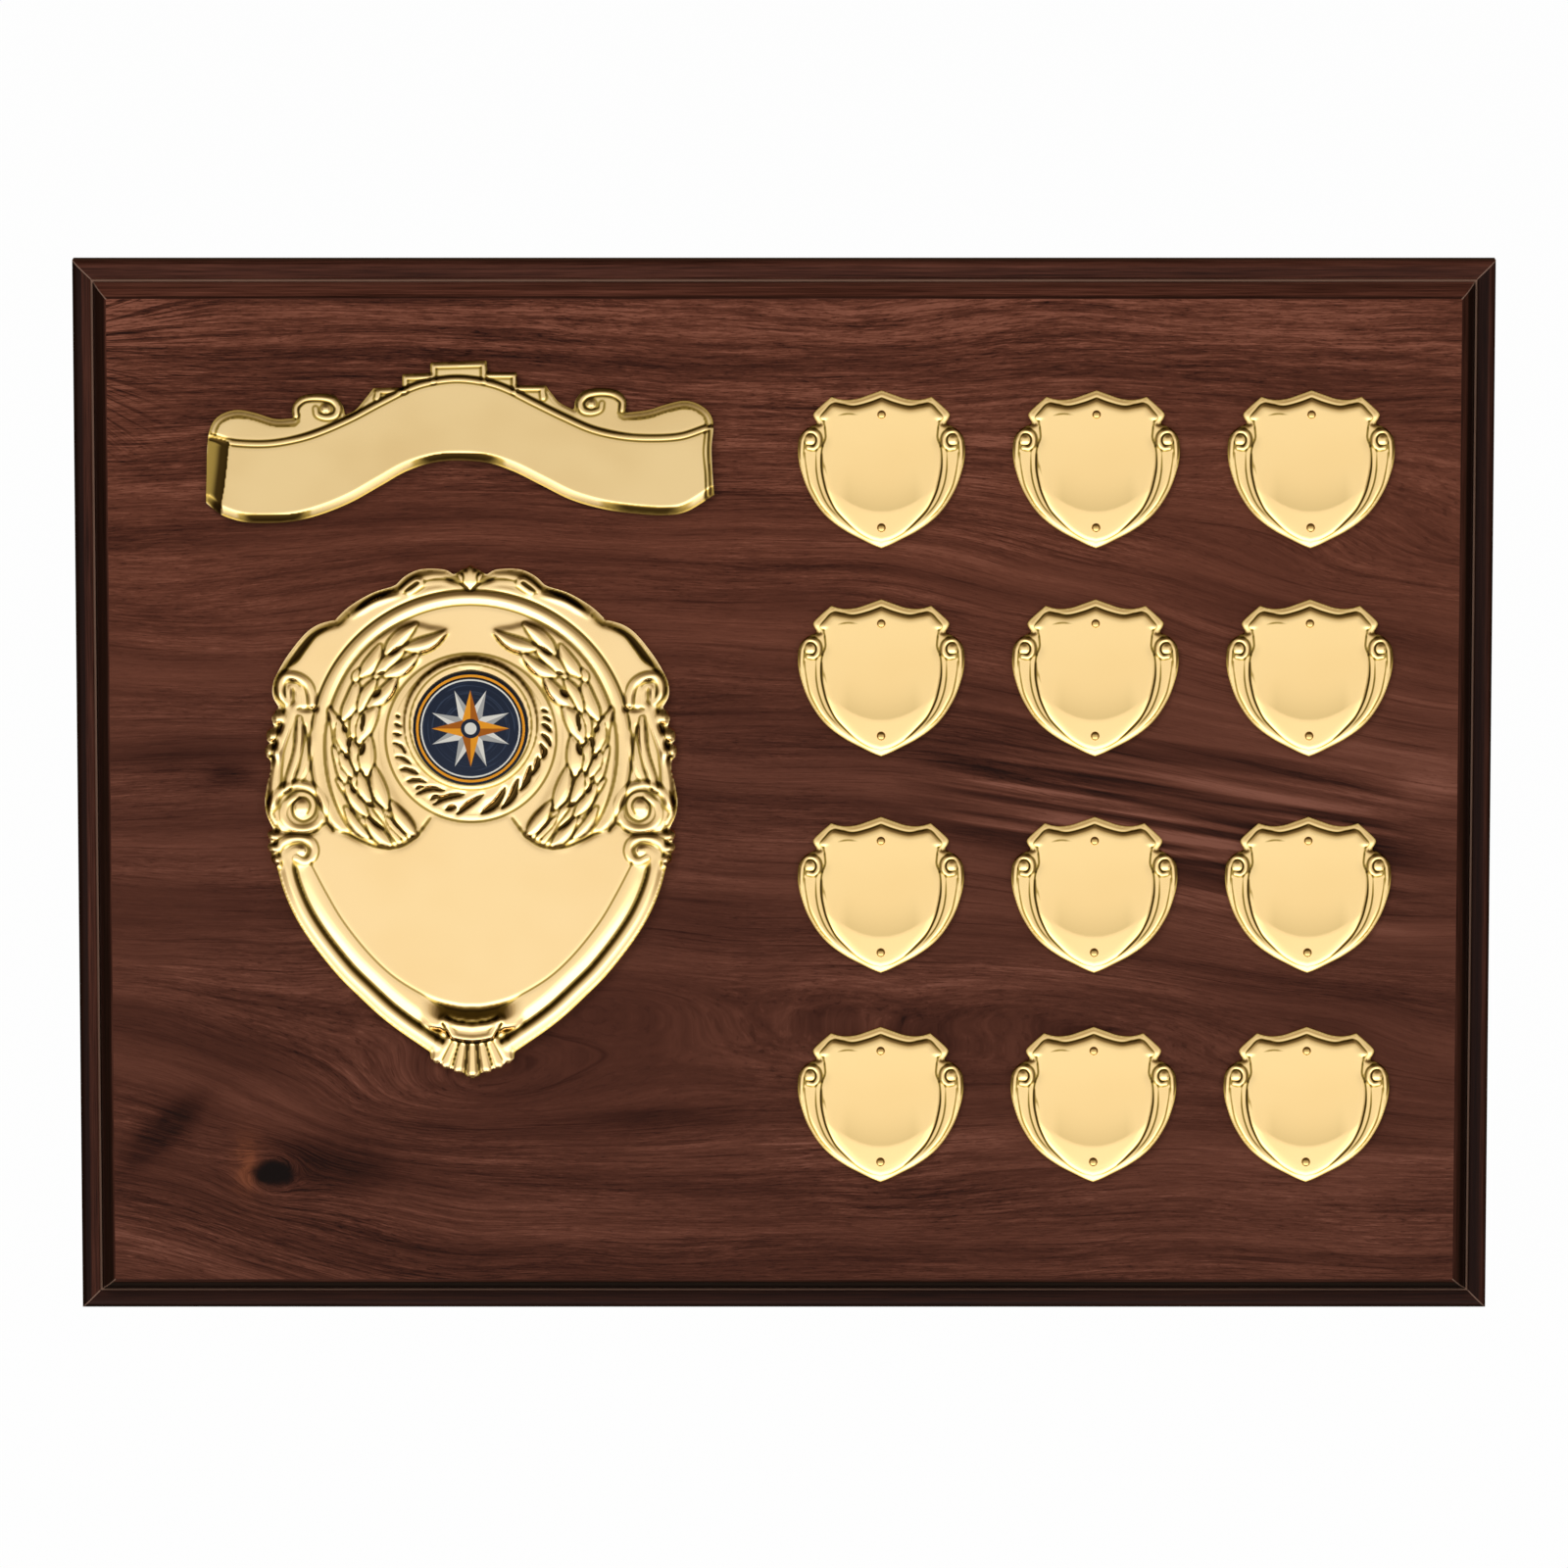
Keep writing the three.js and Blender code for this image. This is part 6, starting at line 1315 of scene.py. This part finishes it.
SCROLL_RIGHT_RAKE = [(-50.9, 88.4), (-49.5, 86.5), (-47.9, 84.7), (-44.9, 83.1)]
SCROLL_RIGHT_VOLUTE = [
    (-44.9, 83.1), (-44.4, 85.5), (-42.4, 87.4), (-38.9, 87.8), (-35.4, 87.2), (-33.7, 85.1),
    (-34, 82.5)]
SCROLL_RIGHT_TOP = [
    (-34, 82.5), (-29.1, 83.1), (-25.2, 84.3), (-21.3, 85.1), (-18.2, 84.3), (-15.9, 82.4),
    (-15.1, 79.6), (-15.5, 74.6), (-15.1, 66.8), (-14.9, 64.8)]
SCROLL_FOOT = [
    (-14.9, 64.8), (-20.6, 61.3), (-25.2, 60.4), (-31.5, 60.7), (-38.5, 61.7), (-45.5, 63.7),
    (-51.8, 66.8), (-58, 69.9), (-63.5, 71.7), (-69.8, 72.2), (-75.2, 71.7), (-80.7, 69.9),
    (-86.2, 66.8), (-92.4, 63.3), (-98.7, 60.7), (-104.9, 59.1), (-111.2, 58.7), (-115.9, 59),
    (-120.5, 60.5), (-123.7, 62.9)]
SCROLL_RIDGE = [
    (-122.6, 77.4), (-121.7, 77.2), (-117.4, 76.1), (-110.4, 75.9), (-104.1, 76.9), (-98.7, 78.6),
    (-92.4, 81.4), (-86.2, 84.7), (-79.9, 87.8), (-75.2, 89.2), (-69.8, 89.8), (-64.3, 89.2),
    (-59.6, 87.8), (-53.4, 84.7), (-47.1, 81.6), (-40.9, 78.9), (-34.6, 77.5), (-28.4, 77.1),
    (-22.1, 77.5), (-16.8, 79.2)]
SCROLL_FRAMES = [
    [(-74.9, 89.4), (-74.9, 92.7), (-64.1, 93.0), (-64.0, 89.5)],
    [(-81.0, 87.2), (-81.0, 90.2), (-75.5, 90.4)], [(-57.5, 87.2), (-57.5, 90.6), (-63.2, 90.6)],
    [(-86.9, 85.6), (-86.6, 87.3), (-81.4, 87.4)],
    [(-51.4, 85.8), (-51.6, 87.8), (-57.1, 87.8)]]
RIGHT_LINES = [
    [(-16.9, 78.4), (-17.2, 74), (-16.8, 69), (-16.7, 64)],
    [(-16.0, 78.8), (-16.2, 74), (-15.9, 69), (-15.8, 65)]]
SCROLL_MARKS = [
    ("crease", RIGHT_LINES[0], 0.12, 0.3), ("stain", RIGHT_LINES[0], 1.9),
    ("crease", RIGHT_LINES[1], 0.12, 0.3), ("stain", RIGHT_LINES[1], 1.9),
    ("rib", [
        (-104.3, 81.9), (-104.3, 84.0), (-102.4, 85.6), (-99.5, 85.9), (-96.6, 85.3), (-95.3, 83.6),
        (-95.9, 82.0), (-97.8, 81.5), (-99.7, 82.1), (-100.1, 83.5)], 0.3, 1.7, (0.8, 1, 1, 0.9, 0.6), 2.1),
    ("rib", [
        (-34.5, 83.1), (-34.5, 85.1), (-36.4, 86.6), (-39.2, 87.0), (-42.1, 86.4), (-43.5, 84.8),
        (-43, 83.1), (-41.2, 82.6), (-39.3, 83.2), (-38.9, 84.6)], 0.3, 1.7, (0.8, 1, 1, 0.9, 0.6), 2.1)]
SCROLL_EYES, EYE_RADIUS, EYE_RISE = [(-97.9, 83.4), (-41.2, 84.5)], 1.1, 0.6
FRAME_RISE, FRAME_WIDTH, FRAME_EDGING = 0.25, 1.4, 1.3

# Heights and painted shade across the rims: of the rolled ends, of the crest, and of the bevelled foot.
SCROLL_RIM_SECTION = [(-1, 2.1), (0, 2.1), (0.3, 2.13), (0.8, 2.34), (1.4, 2.46), (2.3, 2.6), (9, 2.68)]
SCROLL_RIM_SHADE = [
    (0, 1.5), (0.3, 1.1), (0.7, 0.95), (1.15, 1.2), (1.45, 2.5), (1.7, 2.5), (1.95, 0.6), (2.2, 0), (9, 0)]
SCROLL_CREST_SECTION = [(-1, 2.2), (0, 2.2), (0.3, 2.23), (0.7, 2.36), (1.0, 2.44), (9, 2.5)]
SCROLL_CREST_SHADE = [(0, 1.5), (0.3, 0.9), (1.0, 1.0), (1.3, 0.5), (2.5, 0.45), (9, 0.35)]
SCROLL_FOOT_SHADE = [
    (0, 1.8), (0.35, 1.5), (0.6, 0.85), (1.2, 0.9), (1.9, 1.3), (2.15, 1.6), (2.4, 0), (9, 0)]
SCROLL_BEVEL_SHADE = [(0, 0.5), (0.5, 0.7), (0.9, 1), (1.7, 1), (2.1, 0.2), (2.3, 0), (9, 0)]
# Patches of painted dark reflection on the bevel: x, reach and darkness.
SCROLL_BEVEL_SHADE_PATCHES = [(-69.6, 9.5, 3.2), (-109, 7.5, 3.0), (-29.5, 9.5, 2.2)]
# Painted shade across the rolled left end, by distance from its edge.
SCROLL_ROLL_SHADE = [
    (-9, 1.4), (-5.2, 0.6), (-4.6, 1.5), (-3, 1.8), (-1.5, 3.0), (-0.1, 4.2), (0.3, 3.0), (0.5, 0),
    (200, 0)]
ROLL_EDGE = [(-13.5, -51.05), (-9, -50.35), (-4, -49.65), (1, -49.15)]
BEVEL_WIDTH, BEVEL_DROP, RIBBON_LEVEL, ROLL_DROP = 2.1, 1.25, 2.75, 1.0
RIDGE_RISE, RIDGE_WIDTH, RIDGE_LINE_OFFSET = 0.14, 2.0, 0.62
RIDGE_CREASE, RIDGE_SHADE = (0.08, 0.36), (2.5, 0.27)
END_START, END_LENGTH, LEFT_ROLL, RIGHT_ROLL = 31, 6, -51, 52.2
SCROLL_REAR = 0.8
# The scroll's brass is painted darker than the shield's: a shaded copy for its duller reflection.
SCROLL_GILT_SHADED, SCROLL_GILT_WORN_SHADED, SCROLL_ROUGHNESS = (0.81, 0.595, 0.29, 1), (0.74, 0.525, 0.24, 1), 0.2


def on_ribbon(places):
    return [(x - SCROLL_MIDDLE[0], z - SCROLL_MIDDLE[1]) for x, z in places]


def drawn(places):
    return curve(on_ribbon(places), SCROLL_STEP)


foot_line, ridge_line = drawn(SCROLL_FOOT), drawn(SCROLL_RIDGE)
scroll_outline = joined(
    drawn(SCROLL_LEFT_TOP), drawn(SCROLL_LEFT_VOLUTE), drawn(SCROLL_LEFT_RAKE),
    np.array(on_ribbon(SCROLL_STEPS)),
    drawn(SCROLL_RIGHT_RAKE), drawn(SCROLL_RIGHT_VOLUTE), drawn(SCROLL_RIGHT_TOP), foot_line)[:-1]
ribbon = Stamping(SCROLL_RIGHT, SCROLL_LOW, SCROLL_HIGH, SCROLL_STEP, start=SCROLL_LEFT)
edge = ribbon.depth_inside(scroll_outline, 8)
from_ridge, _, side, _ = ribbon.near(ridge_line, 60)
above = np.where(side > 0, part_way(from_ridge, 0, 0.8), 0)
on_face = above < 0.1
from_foot = ribbon.near(foot_line, 3)[0]
face_height = RIBBON_LEVEL - BEVEL_DROP * np.clip(1 - from_foot / BEVEL_WIDTH, 0, 1) ** 1.2
from_roll = ribbon.uu - np.interp(ribbon.ww, *zip(*ROLL_EDGE))
face_height -= np.where(from_roll < 0, ROLL_DROP * (1 - np.exp(np.minimum(from_roll, 0) / 1.5)), 0)
# Painted shade on the rolled left end and on the right end's rim.
ribbon.shade += section(from_roll, SCROLL_ROLL_SHADE) * on_face
ribbon.shade += part_way(ribbon.uu, RIGHT_ROLL, 0.4) * on_face

# The sheet above the ridge, with a broader rim at the rolled ends than at the crest.
at_end = part_way(abs(ribbon.uu), END_START, END_LENGTH)
plate = section(edge, SCROLL_RIM_SECTION) * at_end + section(edge, SCROLL_CREST_SECTION) * (1 - at_end)
rim_shade = section(edge, SCROLL_RIM_SHADE) * at_end + section(edge, SCROLL_CREST_SHADE) * (1 - at_end)
ribbon.height = face_height * (1 - above) + above * plate
ribbon.shade += above * rim_shade
# Painted dark reflection in patches on the bevelled foot, then painted shade along the foot.
for patch_x, reach, amount in SCROLL_BEVEL_SHADE_PATCHES:
    off = (ribbon.uu - (patch_x - SCROLL_MIDDLE[0])) / reach
    patch = amount * np.clip(1.2 - off ** 2, 0, 1)
    ribbon.shade += patch * section(from_foot, SCROLL_BEVEL_SHADE) * on_face
ribbon.shade += on_face * (ribbon.uu > LEFT_ROLL) * section(from_foot, SCROLL_FOOT_SHADE)
ribbon.rib(ridge_line, RIDGE_RISE, RIDGE_WIDTH, (0.7, 1, 1, 1, 0.8))
sideways = np.gradient(ridge_line, axis=0)[:, ::-1] * (-1, 1)
sideways /= np.hypot(*sideways.T)[:, None]
# Two creases along the ridge, each with a line of painted shade.
for offset in (-RIDGE_LINE_OFFSET, RIDGE_LINE_OFFSET):
    ribbon.crease(ridge_line + offset * sideways, *RIDGE_CREASE)
    ribbon.stain(ridge_line + offset * sideways, *RIDGE_SHADE)
for frame_line in SCROLL_FRAMES:
    ribbon.rib(np.array(on_ribbon(frame_line)), FRAME_RISE, FRAME_WIDTH, edging=FRAME_EDGING)
ribbon.press(SCROLL_MARKS, drawn)
for eye in on_ribbon(SCROLL_EYES):
    ribbon.dome(eye, EYE_RADIUS, EYE_RISE)
ribbon.soften(1)

scroll_gilt = gilt_finish("gilt_scroll_shaded", SCROLL_GILT_SHADED, SCROLL_GILT_WORN_SHADED, SCROLL_ROUGHNESS)
scroll_place = (SCROLL_MIDDLE[0] * MM, SCROLL_MIDDLE[1] * MM)
title_scroll = ribbon.piece(
    "title_scroll_stamping", scroll_outline, scroll_gilt, scroll_place, face_depth, SCROLL_REAR)
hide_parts("title_scroll")
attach(title_scroll, "root")


size = {"cad": cad_box, "visual": [list(corner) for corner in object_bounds()]}
